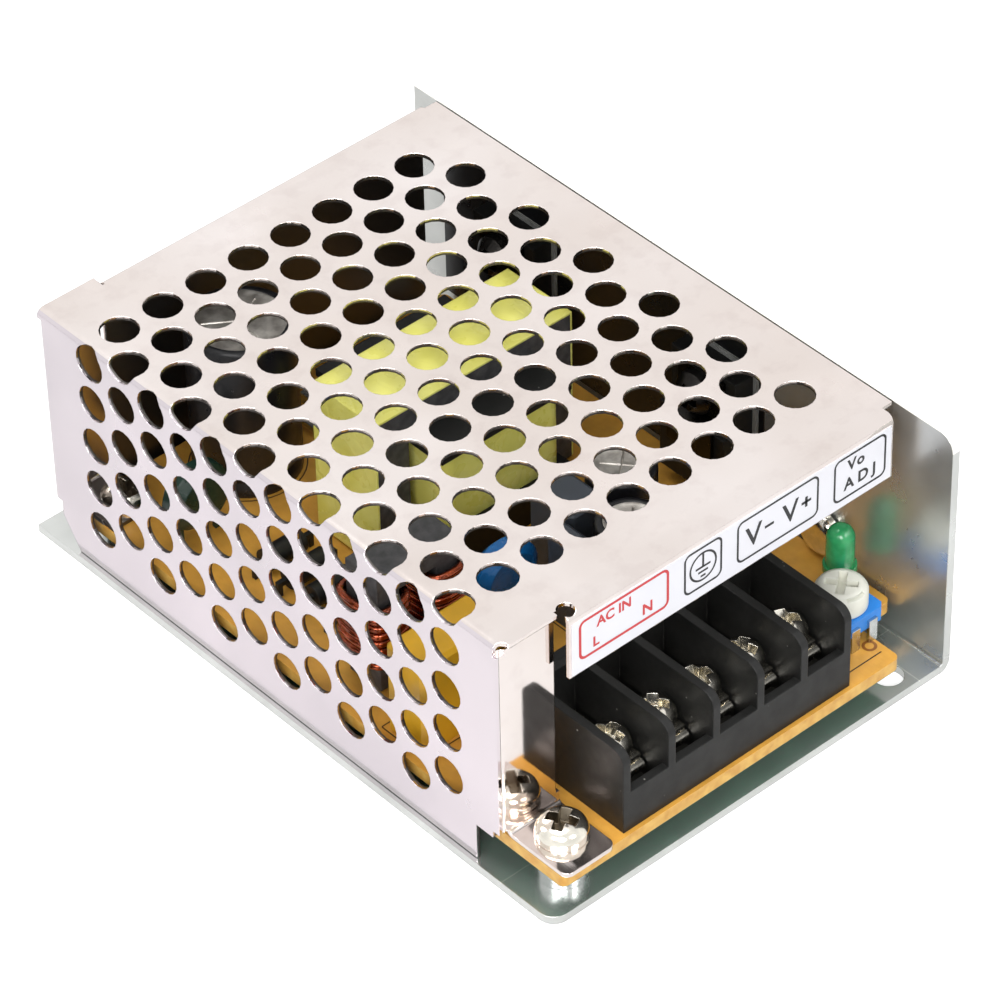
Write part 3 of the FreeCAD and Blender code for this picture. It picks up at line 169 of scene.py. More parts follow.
def within(tree, value, low, high):
    """One where a value lies between two others, and zero elsewhere."""
    above = combine(tree, "GREATER_THAN", value, low)
    return combine(tree, "MULTIPLY", above, combine(tree, "LESS_THAN", value, high))


def noise(tree, place, size, detail=2):
    """Noise with features of a size in metres."""
    settings = {"Vector": place, "Scale": 1 / size, "Detail": detail}
    return add(tree, "ShaderNodeTexNoise", settings).outputs["Fac"]


def stretched(tree, place, along, size, detail=2):
    """Noise drawn out along the given scale factors, as rolling or brushing leaves it."""
    mapping = add(tree, "ShaderNodeMapping", {"Vector": place, "Scale": along})
    return noise(tree, mapping.outputs["Vector"], size, detail)


def mottled(tree, place, pale, dark, size, detail=3, contrast=(0.35, 0.65)):
    """Two close colours that drift into each other over patches of a size in metres."""
    return blended(tree, ranged(tree, noise(tree, place, size, detail), *contrast), dark, pale)


def uneven(tree, place, low, high, size):
    """A value, such as a roughness, that wanders between two others over a size in metres."""
    return ranged(tree, noise(tree, place, size, 4), 0.3, 0.7, low, high)


def relief(tree, height, depth, strength, radius):
    """Bumps of a depth in metres on edges that are rounded by a radius."""
    edge = add(tree, "ShaderNodeBevel", {"Radius": radius}, samples=6)
    return add(tree, "ShaderNodeBump", {"Height": height, "Distance": depth, "Strength": strength,
                                        "Normal": edge.outputs["Normal"]}).outputs["Normal"]


# Helpers for meshes and objects
def linked(name, data):
    """A new object of the scene."""
    item = bpy.data.objects.new(name, data)
    bpy.context.scene.collection.objects.link(item)
    return item


def meshed(name, bm):
    """A mesh made of a bmesh, which is freed."""
    mesh = bpy.data.meshes.new(name)
    bm.to_mesh(mesh)
    bm.free()
    return mesh


def unmeshed(mesh, bm=None):
    """A mesh added to a bmesh, and then removed."""
    if bm is None:
        bm = bmesh.new()
    bm.from_mesh(mesh)
    bpy.data.meshes.remove(mesh)
    return bm


def evaluated(item):
    """The mesh that an object shows once its curve or its modifiers are worked out."""
    depsgraph = bpy.context.evaluated_depsgraph_get()
    return bpy.data.meshes.new_from_object(item.evaluated_get(depsgraph))


def bounds_of(spots):
    """The low and the high corner of some points."""
    return ([min(spot[axis] for spot in spots) for axis in range(3)],
            [max(spot[axis] for spot in spots) for axis in range(3)])


def to_object(name, bm, finish, body=BODY, smooth=40):
    """Makes a piece of a bmesh, gives it its finish and lets it ride on a body."""
    return piece(name, meshed(name, bm), finish, body, smooth)


def piece(name, mesh, finish, body=BODY, smooth=40):
    if mesh.materials:
        mesh.materials.clear()
    mesh.materials.append(FINISHES[finish])
    item = linked(name, mesh)
    mesh.shade_smooth()
    mesh.set_sharp_from_angle(angle=math.radians(smooth))
    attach(item, body)
    return item


def clean(bm, distance=0.001 * MM):
    """Merges doubles and turns the faces outwards."""
    bmesh.ops.remove_doubles(bm, verts=bm.verts, dist=distance)
    bmesh.ops.recalc_face_normals(bm, faces=bm.faces)
    return bm


def turned(profile, steps=48, angle=2 * math.pi, rise=0.0):
    """A body of revolution about Z from (radius, height) points in millimetres."""
    bm = bmesh.new()
    spots = [bm.verts.new((radius * MM, 0, height * MM)) for radius, height in profile]
    edges = [bm.edges.new(pair) for pair in zip(spots, spots[1:])]
    around = {"axis": (0, 0, 1), "cent": (0, 0, 0), "angle": angle, "steps": steps}
    if abs(angle - 2 * math.pi) < 0.001:
        bmesh.ops.spin(bm, geom=spots + edges, use_merge=True, **around)
    else:
        edges.append(bm.edges.new((spots[-1], spots[0])))
        face = bmesh.ops.contextual_create(bm, geom=edges)["faces"]
        bmesh.ops.spin(bm, geom=face, dvec=(0, 0, rise * MM / steps), **around)
    return clean(bm)


def block(low, high, edge=0.0, segments=2):
    """A box between two corners in metres, with its edges rounded."""
    bm = bmesh.new()
    size = Vector(high) - Vector(low)
    bmesh.ops.create_cube(bm, size=1, matrix=shift(*centre_of(low, high)) @ Matrix.Diagonal((*size, 1)))
    if edge:
        bmesh.ops.bevel(bm, geom=bm.edges, offset=edge, segments=segments, profile=0.5,
                        affect="EDGES", material=-1)
    return bm


def placed(bm, *turns):
    """Applies transforms in order."""
    for turn in turns:
        bmesh.ops.transform(bm, matrix=turn, verts=bm.verts)
    return bm


def joined(*parts):
    """One bmesh out of several."""
    whole = bmesh.new()
    for part in parts:
        unmeshed(meshed("part", part), whole)
    return whole


def carved(solid, cutter):
    """The first bmesh less the second, with the material numbers of both kept."""
    items = []
    for name, bm in (("solid", solid), ("cutter", cutter)):
        mesh = meshed(name, bm)
        mesh.materials.append(FINISHES["nickel"])
        mesh.materials.append(FINISHES["nickel"])
        items.append(linked(name, mesh))
    boolean = items[0].modifiers.new("carve", "BOOLEAN")
    boolean.operation = "DIFFERENCE"
    boolean.solver = "EXACT"
    boolean.use_self = True
    boolean.object = items[1]
    result = evaluated(items[0])
    for item in items:
        bpy.data.meshes.remove(item.data)
    return unmeshed(result)


def tube(name, points, radius, finish):
    """A round wire along points in metres, as a mesh."""
    curve = bpy.data.curves.new(name, "CURVE")
    curve.dimensions = "3D"
    curve.bevel_depth = radius
    curve.bevel_resolution = 3
    curve.use_fill_caps = True
    spline = curve.splines.new("NURBS")
    spline.points.add(len(points) - 1)
    for spot, point in zip(spline.points, points):
        spot.co = (*point, 1)
    spline.order_u = 3
    spline.use_endpoint_u = True
    spline.resolution_u = 3
    holder = linked(name, curve)
    mesh = evaluated(holder)
    bpy.data.objects.remove(holder)
    mesh.name = name
    return piece(name, mesh, finish, BODY, 60)


def finish_node(name, finish):
    """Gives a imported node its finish."""
    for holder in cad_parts[name].material_slots:
        holder.material = FINISHES[finish]


# Finishes
def satin_aluminium(settings):
    """Mill-finish aluminium sheet, much handled: nearly a mirror, with soft clouds and a faint grain."""
    material, tree, place = begin("satin_aluminium_sheet")
    pale = (*settings.cover_colour, 1)
    clouds = mottled(tree, place, pale, linear("E8DDD7"), 24 * MM, 3, (0.35, 0.75))
    bloom = mottled(tree, place, (1, 1, 1, 1), (0.95, 0.94, 0.94, 1), 2.4 * MM, 4, (0.3, 0.5))
    tone = blended(tree, 1.0, clouds, bloom, "MULTIPLY")
    axes = axes_of(tree, place)
    low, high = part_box("cover")
    past = 1 * MM
    # Painted shade: the side wall is painted a darker and cooler tone than the top
    side = within(tree, axes["X"], low[0] - past, low[0] + 0.4 * MM)
    tone = blended(tree, side, tone, mottled(tree, place, linear("E4DBE0"), linear("D7CFD4"), 20 * MM))
    shaded_inside = shaded_inside_mask(tree, axes, settings.sheet)
    # The free edge beside the wall and the lower edge of the side wall are sheared, and painted dark as the
    # shadow in the gaps beside the wall and under the side
    wall_gap_shadow = within(tree, axes["X"], high[0] - 0.1 * MM, high[0] + past)
    foot_gap_shadow = within(tree, axes["Z"], low[2] - past, low[2] + 0.12 * MM)
    sheared = combine(tree, "MAXIMUM", wall_gap_shadow, combine(tree, "MULTIPLY", side, foot_gap_shadow))
    # Painted shade: the inner side and the inner half of the hole walls are darkened
    tone = blended(tree, shaded_inside, tone, linear("6E6A67"))
    tone = blended(tree, sheared, tone, linear("3E3C3A"))
    grain = stretched(tree, place, (1, 0.03, 1), settings.grain, 4)
    # The front flange and the foot are the sheet's clean end, and mirror what stands before them
    clean_end = ranged(tree, axes["Y"], -33.4 * MM, -32.4 * MM, 0.3)
    dull = combine(tree, "MULTIPLY", uneven(tree, place, 0.15, 0.28, 8 * MM), clean_end)
    return close(material, tree, {
        "Base Color": tone, "Metallic": 1.0,
        "Roughness": combine(tree, "MAXIMUM", dull, combine(tree, "MULTIPLY", shaded_inside, 0.42)),
        "Normal": relief(tree, grain, 0.004 * MM, 0.25, settings.edge_radius)})


def shaded_inside_mask(tree, axes, sheet):
    """One on the cover's inner side and on the inner half of its cut walls, which are dull and painted dark
    as shade.
    """
    low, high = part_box("cover")
    half = sheet / 2
    from_side = combine(tree, "SUBTRACT", axes["X"], low[0])
    from_top = combine(tree, "SUBTRACT", high[2], axes["Z"])
    # In the bend both depths are small, and their sum tells the outer face from the inner one
    depth = combine(tree, "ADD", from_side, from_top)
    inside = within(tree, axes["Y"], -33.1 * MM, BACK_WALL - half)
    for value, least in ((from_side, half), (from_top, half), (depth, 1.88 * sheet)):
        inside = combine(tree, "MULTIPLY", inside, within(tree, value, least, 1))
    return inside


def bright_aluminium(settings):
    """Bright-rolled aluminium sheet: a hazy mirror with fine scratches, nearly white where it was sheared."""
    material, tree, place = begin("bright_aluminium_sheet")
    pale = (*settings.chassis_colour, 1)
    colour = mottled(tree, place, pale, shade(pale, 0.84), 9 * MM, 3)
    axes = axes_of(tree, place)
    # Handling scratches are hairlines, drawn 0.2 mm apart
    scratches = stretched(tree, place, (0.06, 1, 0.6), 0.2 * MM, 4)
    # Two lines scribed across the base where the sheet was marked out for its fold
    lines = combine(tree, "MAXIMUM", within(tree, axes["X"], 24.35 * MM, 24.47 * MM),
                    within(tree, axes["Y"], -34.6 * MM, -34.48 * MM))
    scribed = combine(tree, "MULTIPLY", lines, within(tree, axes["Z"], 0.9 * MM, 1.1 * MM))
    # The upright wall was rolled out duller than the base
    dull = ranged(tree, within(tree, axes["X"], 27.7 * MM, 29.1 * MM), 0, 1, 0.15, 0.3)
    # The wall's sheared edge is pale, along its top and round its front corner
    sheared = combine(tree, "MAXIMUM", within(tree, axes["Z"], 32.7 * MM, 33.5 * MM), corner_rim(tree, axes))
    colour = blended(tree, combine(tree, "MAXIMUM", scribed, sheared), colour, linear("FFFDF6"))
    return close(material, tree, {
        "Base Color": colour,
        "Metallic": combine(tree, "SUBTRACT", 0.84, combine(tree, "MULTIPLY", sheared, 0.6)),
        "Roughness": combine(tree, "ADD", dull, uneven(tree, place, -0.04, 0.06, 6 * MM)),
        "Normal": relief(tree, scratches, 0.003 * MM, 0.25, settings.edge_radius)})


def corner_rim(tree, axes):
    """One on the edge of the rounded corner at the front of the chassis wall."""
    radius, front, top = mm(2, -42.5, 32.8)
    across = combine(tree, "SUBTRACT", front + radius, axes["Y"])
    up = combine(tree, "SUBTRACT", axes["Z"], top - radius)
    reach = combine(tree, "ADD", combine(tree, "MULTIPLY", across, across), combine(tree, "MULTIPLY", up, up))
    corner = combine(tree, "MULTIPLY", within(tree, across, 0, 1), within(tree, up, 0, 1))
    return combine(tree, "MULTIPLY", corner, within(tree, reach, (0.96 * radius) ** 2, 1))


def grained(name, colours, patch, rough, bumps, edge, detail=3, **sockets):
    """A finish of two colours in patches, an uneven roughness and grains, with softened edges.

    Lengths are in millimetres. rough is the lowest and the highest roughness and the size they wander over,
    and bumps is the size, detail, depth and strength of the grains.
    """
    material, tree, place = begin(name)
    low, high, drift = rough
    size, fine, depth, strength = bumps
    return close(material, tree, {
        "Base Color": mottled(tree, place, *colours, patch * MM, detail),
        "Roughness": uneven(tree, place, low, high, drift * MM),
        "Normal": relief(tree, noise(tree, place, size * MM, fine), depth * MM, strength, edge * MM),
        **sockets})


def two_tones(code, factor):
    return linear(code), shade(linear(code), factor)


def nickel_plate(name, code, low, high, patch):
    """Nickel-plated steel, barrel plated: warm and glossy, a little uneven from tumbling."""
    return grained(name, two_tones(code, 0.8), patch, (low, high, 1.2), (0.5, 3, 0.03, 0.35), 0.1,
                   Metallic=1.0)


def moulded_plastic(name, code, roughness=0.42, texture=0.12, depth=0.01, edge=0.15):
    """Injection-moulded thermoplastic: an even colour, a fine eroded texture and softened edges."""
    # Spark-eroded moulds leave pits of some 0.05 mm, drawn coarser so that they show
    return grained(name, two_tones(code, 0.85), 4, (roughness - 0.06, roughness + 0.08, 2),
                   (texture, 3, depth, 0.5), edge, IOR=1.5)


def vinyl(name, code, roughness=0.35):
    """Self-adhesive vinyl film: smooth and satin, with the faint swell of the glue under it."""
    return grained(name, two_tones(code, 0.96), 6, (roughness - 0.05, roughness + 0.05, 3),
                   (2.5, 2, 0.02, 0.3), 0.05, IOR=1.5)


def dipped_epoxy(name, code, roughness=0.25):
    """Dipped epoxy coating: glossy, with the soft orange peel of a cured drip."""
    return grained(name, two_tones(code, 0.8), 2.5, (roughness - 0.05, roughness + 0.08, 2),
                   (0.9, 2, 0.05, 0.4), 0.3, IOR=1.55)


def sintered_ferrite():
    """Sintered ferrite: charcoal grey, dull, with fine grains and worn edges."""
    return grained("sintered_ferrite", (linear("4C4B4C"), linear("333334")), 1.2, (0.5, 0.68, 2),
                   (0.25, 4, 0.03, 0.5), 0.25, 5, IOR=1.6)


def dusty_black_moulding(settings):
    """Flame-retardant polyester moulding: near black, satin, with stray specks of dust."""
    material, tree, place = begin("black_polyester_moulding")
    base = (*settings.block_colour, 1)
    tone = mottled(tree, place, base, shade(base, 0.75), 5 * MM)
    # Specks of 0.15 mm, about one to each few square millimetres
    cells = add(tree, "ShaderNodeTexVoronoi", {"Vector": place, "Scale": 1 / (1.6 * MM)})
    speck = ranged(tree, cells.outputs["Distance"], 0.05, 0.08, 1.0, 0.0)
    chance = ranged(tree, noise(tree, place, 3.5 * MM), 0.55, 0.6)
    dust = combine(tree, "MULTIPLY", speck, chance)
    return close(material, tree, {
        "Base Color": blended(tree, dust, tone, linear("8C8A85")), "IOR": 1.5, "Specular IOR Level": 0.32,
        "Roughness": uneven(tree, place, 0.4, 0.55, 2 * MM),
        "Normal": relief(tree, noise(tree, place, 0.14 * MM, 4), 0.012 * MM, 0.5, 0.2 * MM)})


def board_laminate(settings):
    """Paper and epoxy laminate: amber and fibrous on top, paler where it was cut, green mask underneath."""
    material, tree, place = begin("amber_board_laminate")
    top_colour = (*settings.board_colour, 1)
    amber = mottled(tree, place, top_colour, shade(top_colour, 0.78), 4 * MM, 4)
    # Paper fibres are some 0.1 mm wide, drawn at 0.3 mm so that they show
    fibres = stretched(tree, place, (1, 0.3, 1), 0.3 * MM, 3)
    speckled = blended(tree, 0.1, amber, blended(tree, fibres, (0, 0, 0, 1), (1, 1, 1, 1)), "OVERLAY")
    low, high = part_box("circuit_board")
    height = axes_of(tree, place)["Z"]
    skin = 0.05 * MM
    cut = within(tree, height, low[2] + skin, high[2] - skin)
    edge = mottled(tree, place, linear("DCB15C"), linear("C8933F"), 1.5 * MM)
    under = within(tree, height, low[2] - 1 * MM, low[2] + skin)
    mask = mottled(tree, place, linear("2C7A58"), linear("1F6347"), 6 * MM)
    colour = blended(tree, under, blended(tree, cut, speckled, edge), mask)
    return close(material, tree, {
        "Base Color": colour, "IOR": 1.5, "Roughness": uneven(tree, place, 0.3, 0.42, 3 * MM),
        "Normal": relief(tree, fibres, 0.01 * MM, 0.15, 0.08 * MM)})


def tinted_epoxy(settings):
    """Cast epoxy of a tinted indicator lamp: milky green and glossy, with its lead showing through."""
    material, tree, place = begin("green_tinted_epoxy")
    colour = mottled(tree, place, (*settings.lens_colour, 1), linear("37A868"), 2 * MM)
    return close(material, tree, {
        "Base Color": colour, "IOR": 1.5, "Transmission Weight": 0.4,
        "Roughness": uneven(tree, place, 0.1, 0.22, 1 * MM)})


def polyester_tape(settings):
    """Yellow polyester film tape, wound in layers: glossy, creased, a little uneven over the winding."""
    material, tree, place = begin("yellow_polyester_tape")
    colour = mottled(tree, place, (*settings.tape_colour, 1), linear("F1EC72"), 5 * MM, 2)
    # Creases some millimetres apart, fading in and out along their length
    creases = add(tree, "ShaderNodeTexVoronoi", {"Vector": place, "Scale": 1 / (4.5 * MM)},
                  feature="DISTANCE_TO_EDGE")
    fold = ranged(tree, creases.outputs["Distance"], 0, 0.06)
    height = combine(tree, "MULTIPLY", fold, noise(tree, place, 1.8 * MM, 4))
    return close(material, tree, {
        "Base Color": colour, "IOR": 1.58, "Roughness": uneven(tree, place, 0.22, 0.36, 3 * MM),
        "Normal": relief(tree, height, 0.12 * MM, 0.4, 0.2 * MM)})


def enamelled_copper():
    """Enamelled copper wire: bright copper under a thin clear varnish."""
    material, tree, place = begin("enamelled_copper_wire")
    colour = mottled(tree, place, linear("B4512A"), linear("7E3519"), 1.5 * MM)
    return close(material, tree, {
        "Base Color": colour, "Metallic": 1.0, "Coat Weight": 0.6, "Coat Roughness": 0.08,
        "Roughness": uneven(tree, place, 0.18, 0.3, 1 * MM)})


def etched_aluminium():
    """Deep-drawn aluminium can, etched grey: dull, with fine concentric marks lost in a mottle."""
    material, tree, place = begin("etched_aluminium_can")
    colour = mottled(tree, place, linear("E4DFD7"), linear("B0AAA2"), 1.4 * MM, 5)
    marks = stretched(tree, place, (1, 0.15, 1), 0.2 * MM, 3)
    return close(material, tree, {
        "Base Color": colour, "Metallic": 0.9, "Roughness": uneven(tree, place, 0.34, 0.5, 1.5 * MM),
        "Normal": relief(tree, marks, 0.01 * MM, 0.4, 0.12 * MM)})


FINISHES = {}


def prepare_finishes():
    """Makes each finish once, under its short name."""
    scene = bpy.context.scene
    sheets, parts = scene.supply_sheets, scene.supply_parts
    FINISHES.update({
        "cover": satin_aluminium(sheets),
        "chassis": bright_aluminium(sheets),
        "label_strip": vinyl("white_vinyl_film", "E3E3E9"),
        "red_ink": vinyl("red_printing_ink", "C8383C", 0.4),
        "black_ink": vinyl("black_printing_ink", "202022", 0.4),
        "board_ink": vinyl("dark_board_ink", "2E2210", 0.45),
        "board_pad": vinyl("browned_solder_ring", "8A541C", 0.4),
        # A dark film put on the wall as painted shade
        "shade_film": vinyl("black_film_for_painted_shade", "141416", 0.3),
        "circuit_board": board_laminate(parts),
        "nickel": nickel_plate("nickel_plated_steel", "FAF5E8", 0.1, 0.22, 1.5),
        # Darker nickel for the walls of the cross recesses: painted shade
        "recess": nickel_plate("nickel_with_painted_recess_shade", "8C8272", 0.2, 0.4, 0.8),
        "steel": nickel_plate("zinc_plated_steel", "D3D6D5", 0.16, 0.3, 2.5),
        "dark_steel": nickel_plate("blackened_spring_steel", "3A3836", 0.25, 0.4, 2.5),
        "black_moulding": dusty_black_moulding(parts),
        "blue_moulding": moulded_plastic("blue_nylon_moulding", "2A86E0", 0.34),
        "white_moulding": moulded_plastic("white_acetal_moulding", "E6E6DA", 0.4),
        "green_lens": tinted_epoxy(parts),
        "ferrite": sintered_ferrite(),
        "yellow_tape": polyester_tape(parts),
        "sleeve": moulded_plastic("black_heat_shrink_sleeve", "1B1B1E", 0.32, 0.6, 0.01, 0.3),
        "yellow_case": moulded_plastic("yellow_polyester_case", "F2B92A", 0.36),
        "blue_coating": dipped_epoxy("blue_dipped_epoxy", "1470B8"),
        "green_coating": dipped_epoxy("green_dipped_epoxy", "17362A", 0.3),
        "copper": enamelled_copper(),
        "slate": moulded_plastic("slate_polyester_case", "4A5058", 0.4),
        "pad": moulded_plastic("grey_silicone_pad", "8C8D8A", 0.6, 0.3, 0.02, 0.05),
        "can_top": etched_aluminium(),
    })


# Values that a user would change
class SupplySheets(PropertyGroup):
    """Sheet metal of the cover and the chassis."""
    cover_colour: colour_property("Cover", "Colour of the satin cover sheet", "F6EEEB")
    chassis_colour: colour_property("Chassis", "Colour of the bright chassis sheet", "DEE0DD")
    grain: length_property("Grain", "Spacing of the rolling lines", 0.25)
    sheet: length_property("Cover sheet", "Thickness of the cover sheet", 0.5)
    edge_radius: length_property("Edge radius", "Rounding of the sheared edges and hole rims", 0.14)


class SupplyMarks(PropertyGroup):
    """Printed marks of the label strip."""
    line: length_property("Line", "Width of the printed frames", 0.34)
    corner: length_property("Corner", "Corner radius of the printed frames", 0.9)
    lift: length_property("Lift", "Height of the ink above the film", 0.02)


class SupplyParts(PropertyGroup):
    """Colours and fine sizes of what sits on the board."""
    board_colour: colour_property("Board", "Colour of the laminate", "E3A747")
    block_colour: colour_property("Terminal block", "Colour of the moulding", "1A1A19")
    lens_colour: colour_property("Lamp", "Colour of the tinted lens", "4CC680")
    tape_colour: colour_property("Tape", "Colour of the transformer tape", "FDF98C")
    recess_taper: FloatProperty(name="Recess taper", default=0.5, min=0.1, max=1,
                                description="Width of the cross recess at its bottom, as a share of its top")
    choke_wire: length_property("Choke wire", "Diameter of the copper wire of the choke", 0.95)
    turns: IntProperty(name="Turned steps", description="Steps of each turned shape", default=48, min=16,
                       max=96)


class SupplyStage(PropertyGroup):
    """Light and view."""
    fill: FloatProperty(name="Fill", description="Strength of the even light from all round", default=0.4,
                        min=0)
    key: power_property("Key", "beside the camera", 6.6)
    front: power_property("Front light", "before the terminals", 2.6)
    side: power_property("Side light", "at the left", 2.2)
    top: power_property("Top light", "above", 7.5)
    lens: FloatProperty(name="Lens", description="Focal length of the camera", default=193.12, unit="CAMERA")


# Pieces
def hollowed(bm, line):
    """A flat mark with only a line of a width kept along its outline."""
    inner = list(bm.faces)
    bmesh.ops.inset_region(bm, faces=inner, thickness=line, use_even_offset=True, use_boundary=True)
    bmesh.ops.delete(bm, geom=inner, context="FACES")
    return bm


def bar_mark(low, high):
    """A printed bar in the XY plane, between two corners in metres."""
    bm = bmesh.new()
    matrix = (shift((low[0] + high[0]) / 2, (low[1] + high[1]) / 2, 0)
              @ Matrix.Diagonal((high[0] - low[0], high[1] - low[1], 1, 1)))
    bmesh.ops.create_grid(bm, x_segments=1, y_segments=1, size=0.5, matrix=matrix)
    return bm


def frame_mark(low, high, line, corner):
    """A printed frame with rounded corners."""
    bm = bar_mark(low, high)
    bmesh.ops.bevel(bm, geom=bm.verts, offset=corner, segments=8, profile=0.5, affect="VERTICES", material=-1)
    return hollowed(bm, line)


def ring_mark(x, y, radius, line):
    """A printed ring in the XY plane."""
    bm = bmesh.new()
    bmesh.ops.create_circle(bm, cap_ends=True, radius=radius, segments=40, matrix=shift(x, y, 0))
    return hollowed(bm, line)


def letters(words, x, y, height, weight=0.028, spread=1.0):
    """Function letters of a cap height in metres, centred on a spot of the XY plane."""
    curve = bpy.data.curves.new(words, "FONT")
    curve.body = words
    curve.offset = weight
    curve.space_character = spread
    curve.resolution_u = 6
    holder = linked(words, curve)
    bm = unmeshed(evaluated(holder))
    bpy.data.objects.remove(holder)
    low, high = bounds_of([vertex.co for vertex in bm.verts])
    scale = height / (high[1] - low[1])
    return placed(bm, shift(*-centre_of(low, high)), Matrix.Scale(scale, 4), shift(x, y, 0))


class SUPPLY_OT_sheets(Operator):
    """Finish the cover and the chassis"""
    bl_idname = "supply.sheets"
    bl_label = "Cover and chassis"

    def execute(self, context):
        finish_node("cover", "cover")
        finish_node("chassis", "chassis")
        return {"FINISHED"}


class SUPPLY_OT_label(Operator):
    """Finish the label strip and print its function marks"""
    bl_idname = "supply.label"
    bl_label = "Label strip"

    def execute(self, context):
        marks = context.scene.supply_marks
        finish_node("label_strip", "label_strip")
        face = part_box("label_strip")[0][1] - marks.lift
        upright = shift(0, face, 0) @ spin(90, "X")
        corner = marks.corner
        bold, line = marks.line, marks.line * 0.8

        def printed(name, ink, *parts):
            to_object(name, placed(joined(*parts), upright), ink)

        printed("mains_marks", "red_ink",
                frame_mark(mm(-18.8, 26.4), mm(-6.3, 31.7), bold, corner),
                letters("AC IN", *mm(-14.0, 30.3, 1.35)), letters("L", *mm(-16.4, 27.9, 1.35)),
                letters("N", *mm(-9.3, 28.0, 1.45)))
        printed("earth_marks", "black_ink",
                frame_mark(mm(-4.2, 26.1), mm(1.2, 31.6), line, corner),
                ring_mark(*mm(-1.5, 28.9, 1.95), bold * 0.75),
                bar_mark(mm(-1.64, 28.9), mm(-1.36, 30.6)), bar_mark(mm(-2.55, 28.7), mm(-0.45, 28.98)),
                bar_mark(mm(-2.2, 28.1), mm(-0.8, 28.36)), bar_mark(mm(-1.85, 27.5), mm(-1.15, 27.76)))
        printed("output_marks", "black_ink",
                frame_mark(mm(3.3, 26.0), mm(15.1, 31.6), line, corner),
                letters("V", *mm(5.7, 28.8, 2.7), 0.012), bar_mark(mm(7.3, 28.65), mm(8.6, 29.0)),
                letters("V", *mm(11.0, 28.8, 2.7), 0.012), bar_mark(mm(12.6, 28.65), mm(14.0, 29.0)),
                bar_mark(mm(13.12, 28.13), mm(13.48, 29.52)))
        printed("adjust_marks", "black_ink",
                frame_mark(mm(17.3, 25.8), mm(25.0, 31.6), line, corner),
                letters("ADJ", *mm(21.1, 27.45, 2.05), spread=1.55),
                letters("Vo", *mm(20.5, 30.1, 1.5), spread=1.15))
        return {"FINISHED"}


def screw_head(radius, height, steps):
    """A pan head with a domed top, in millimetres, its underside at zero."""
    dome = ((1, 0.32), (0.97, 0.5), (0.89, 0.69), (0.76, 0.84), (0.58, 0.94), (0.35, 1), (0, 1))
    return turned([(0, 0), (radius - 0.1, 0), (radius, 0.12)]
                  + [(radius * out, height * up) for out, up in dome], steps)


def cross(top, depth, long, wide, taper):
    """A tapered cross recess, cut down from a height in millimetres. Its walls have the second finish."""
    bars = []
    for width, length in ((wide, long), (long, wide)):
        bar = block(mm(-width / 2, -length / 2, top - depth), mm(width / 2, length / 2, top + 0.4))
        for vertex in bar.verts:
            if vertex.co.z < top * MM:
                vertex.co.x *= taper if width > length else 0.8
                vertex.co.y *= taper if length > width else 0.8
        for face in bar.faces:
            face.material_index = 1
        bars.append(bar)
    return joined(*bars)


def threaded(length, radius=1.4, pitch=0.5):
    """A shank with raised rings for its thread, in millimetres, hanging below zero."""
    root = radius - 0.24
    profile = [(0, -length), (radius - 0.3, -length)]
    for index in range(int((length - 0.4) / pitch)):
        level = -length + 0.3 + index * pitch
        profile += [(root, level), (radius, level + pitch / 2), (root, level + pitch * 0.98)]
    profile += [(radius - 0.1, 0.02), (0, 0.02)]
    return turned(profile, 24)


def recessed_screw(radius, height, depth, bar, length, parts):
    """A pan head with a cross recess on its shank, in millimetres, the head's underside at zero."""
    recess = cross(height, depth, bar, 1.3, parts.recess_taper)
    return joined(carved(screw_head(radius, height, parts.turns), recess), threaded(length))


class SUPPLY_OT_terminals(Operator):
    """Build the five terminal screws and finish the block, its plates and its clamp washers"""
    bl_idname = "supply.terminals"
    bl_label = "Terminals"

    def execute(self, context):
        parts = context.scene.supply_parts
        finish_node("terminal_block", "black_moulding")
        finish_node("terminal_plates", "nickel")
        # Each head stopped at its own angle, in degrees
        for index, stop in zip(range(1, TERMINALS + 1), (17, 48, -8, 31, 64)):
            node = f"terminal_screw_{index}"
            low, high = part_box(node)
            spot, radius, tall = round_shape(low, high)
            washer_low, washer_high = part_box(f"clamp_washer_{index}")
            seat = washer_high[2] / MM
            length = seat - low[2] / MM
            screw = recessed_screw(radius, tall - length, 1.45, 4.2, length, parts)
            placed(screw, spin(stop), shift(spot.x, spot.y, seat * MM))
            item = to_object(f"screw_with_cross_{index}", screw, "nickel", f"screw_{index}", 35)
            item.data.materials.append(FINISHES["nickel"])
            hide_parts(node)
            self.washer(index, spot, washer_low, washer_high)
        return {"FINISHED"}

    def washer(self, index, spot, low, high):
        """A cupped square clamp washer with an open split lock washer on it, in millimetres."""
        lock = 0.6
        sheet = (high[2] - low[2]) / MM - lock
        half = 2.45
        plate = block(mm(-half, -half, 0), mm(half, half, sheet), 0.2 * MM)
        cup = block(mm(-1.75, -3, -1), mm(1.75, 3, 0.3), 0.15 * MM)
        inner, outer = 1.56, 2.56
        bore = turned([(0, -1), (inner, -1), (inner, 3), (0, 3)], 32)
        plate = carved(carved(plate, cup), bore)
        # One turn of square wire, its ends sprung apart by half a wire
        wire = lock / 2
        ring = turned([(inner, 0), (2.5, 0), (outer, 0.06), (outer, wire - 0.06), (2.5, wire), (inner, wire)],
                      40, math.radians(350), lock - wire)
        placed(ring, spin(-20), shift(0, 0, sheet * MM))
        stack = placed(joined(plate, ring), shift(spot.x, spot.y, low[2]))
        item = to_object(f"lock_and_clamp_washer_{index}", stack, "nickel", f"clamp_{index}", 35)
        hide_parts(f"clamp_washer_{index}")


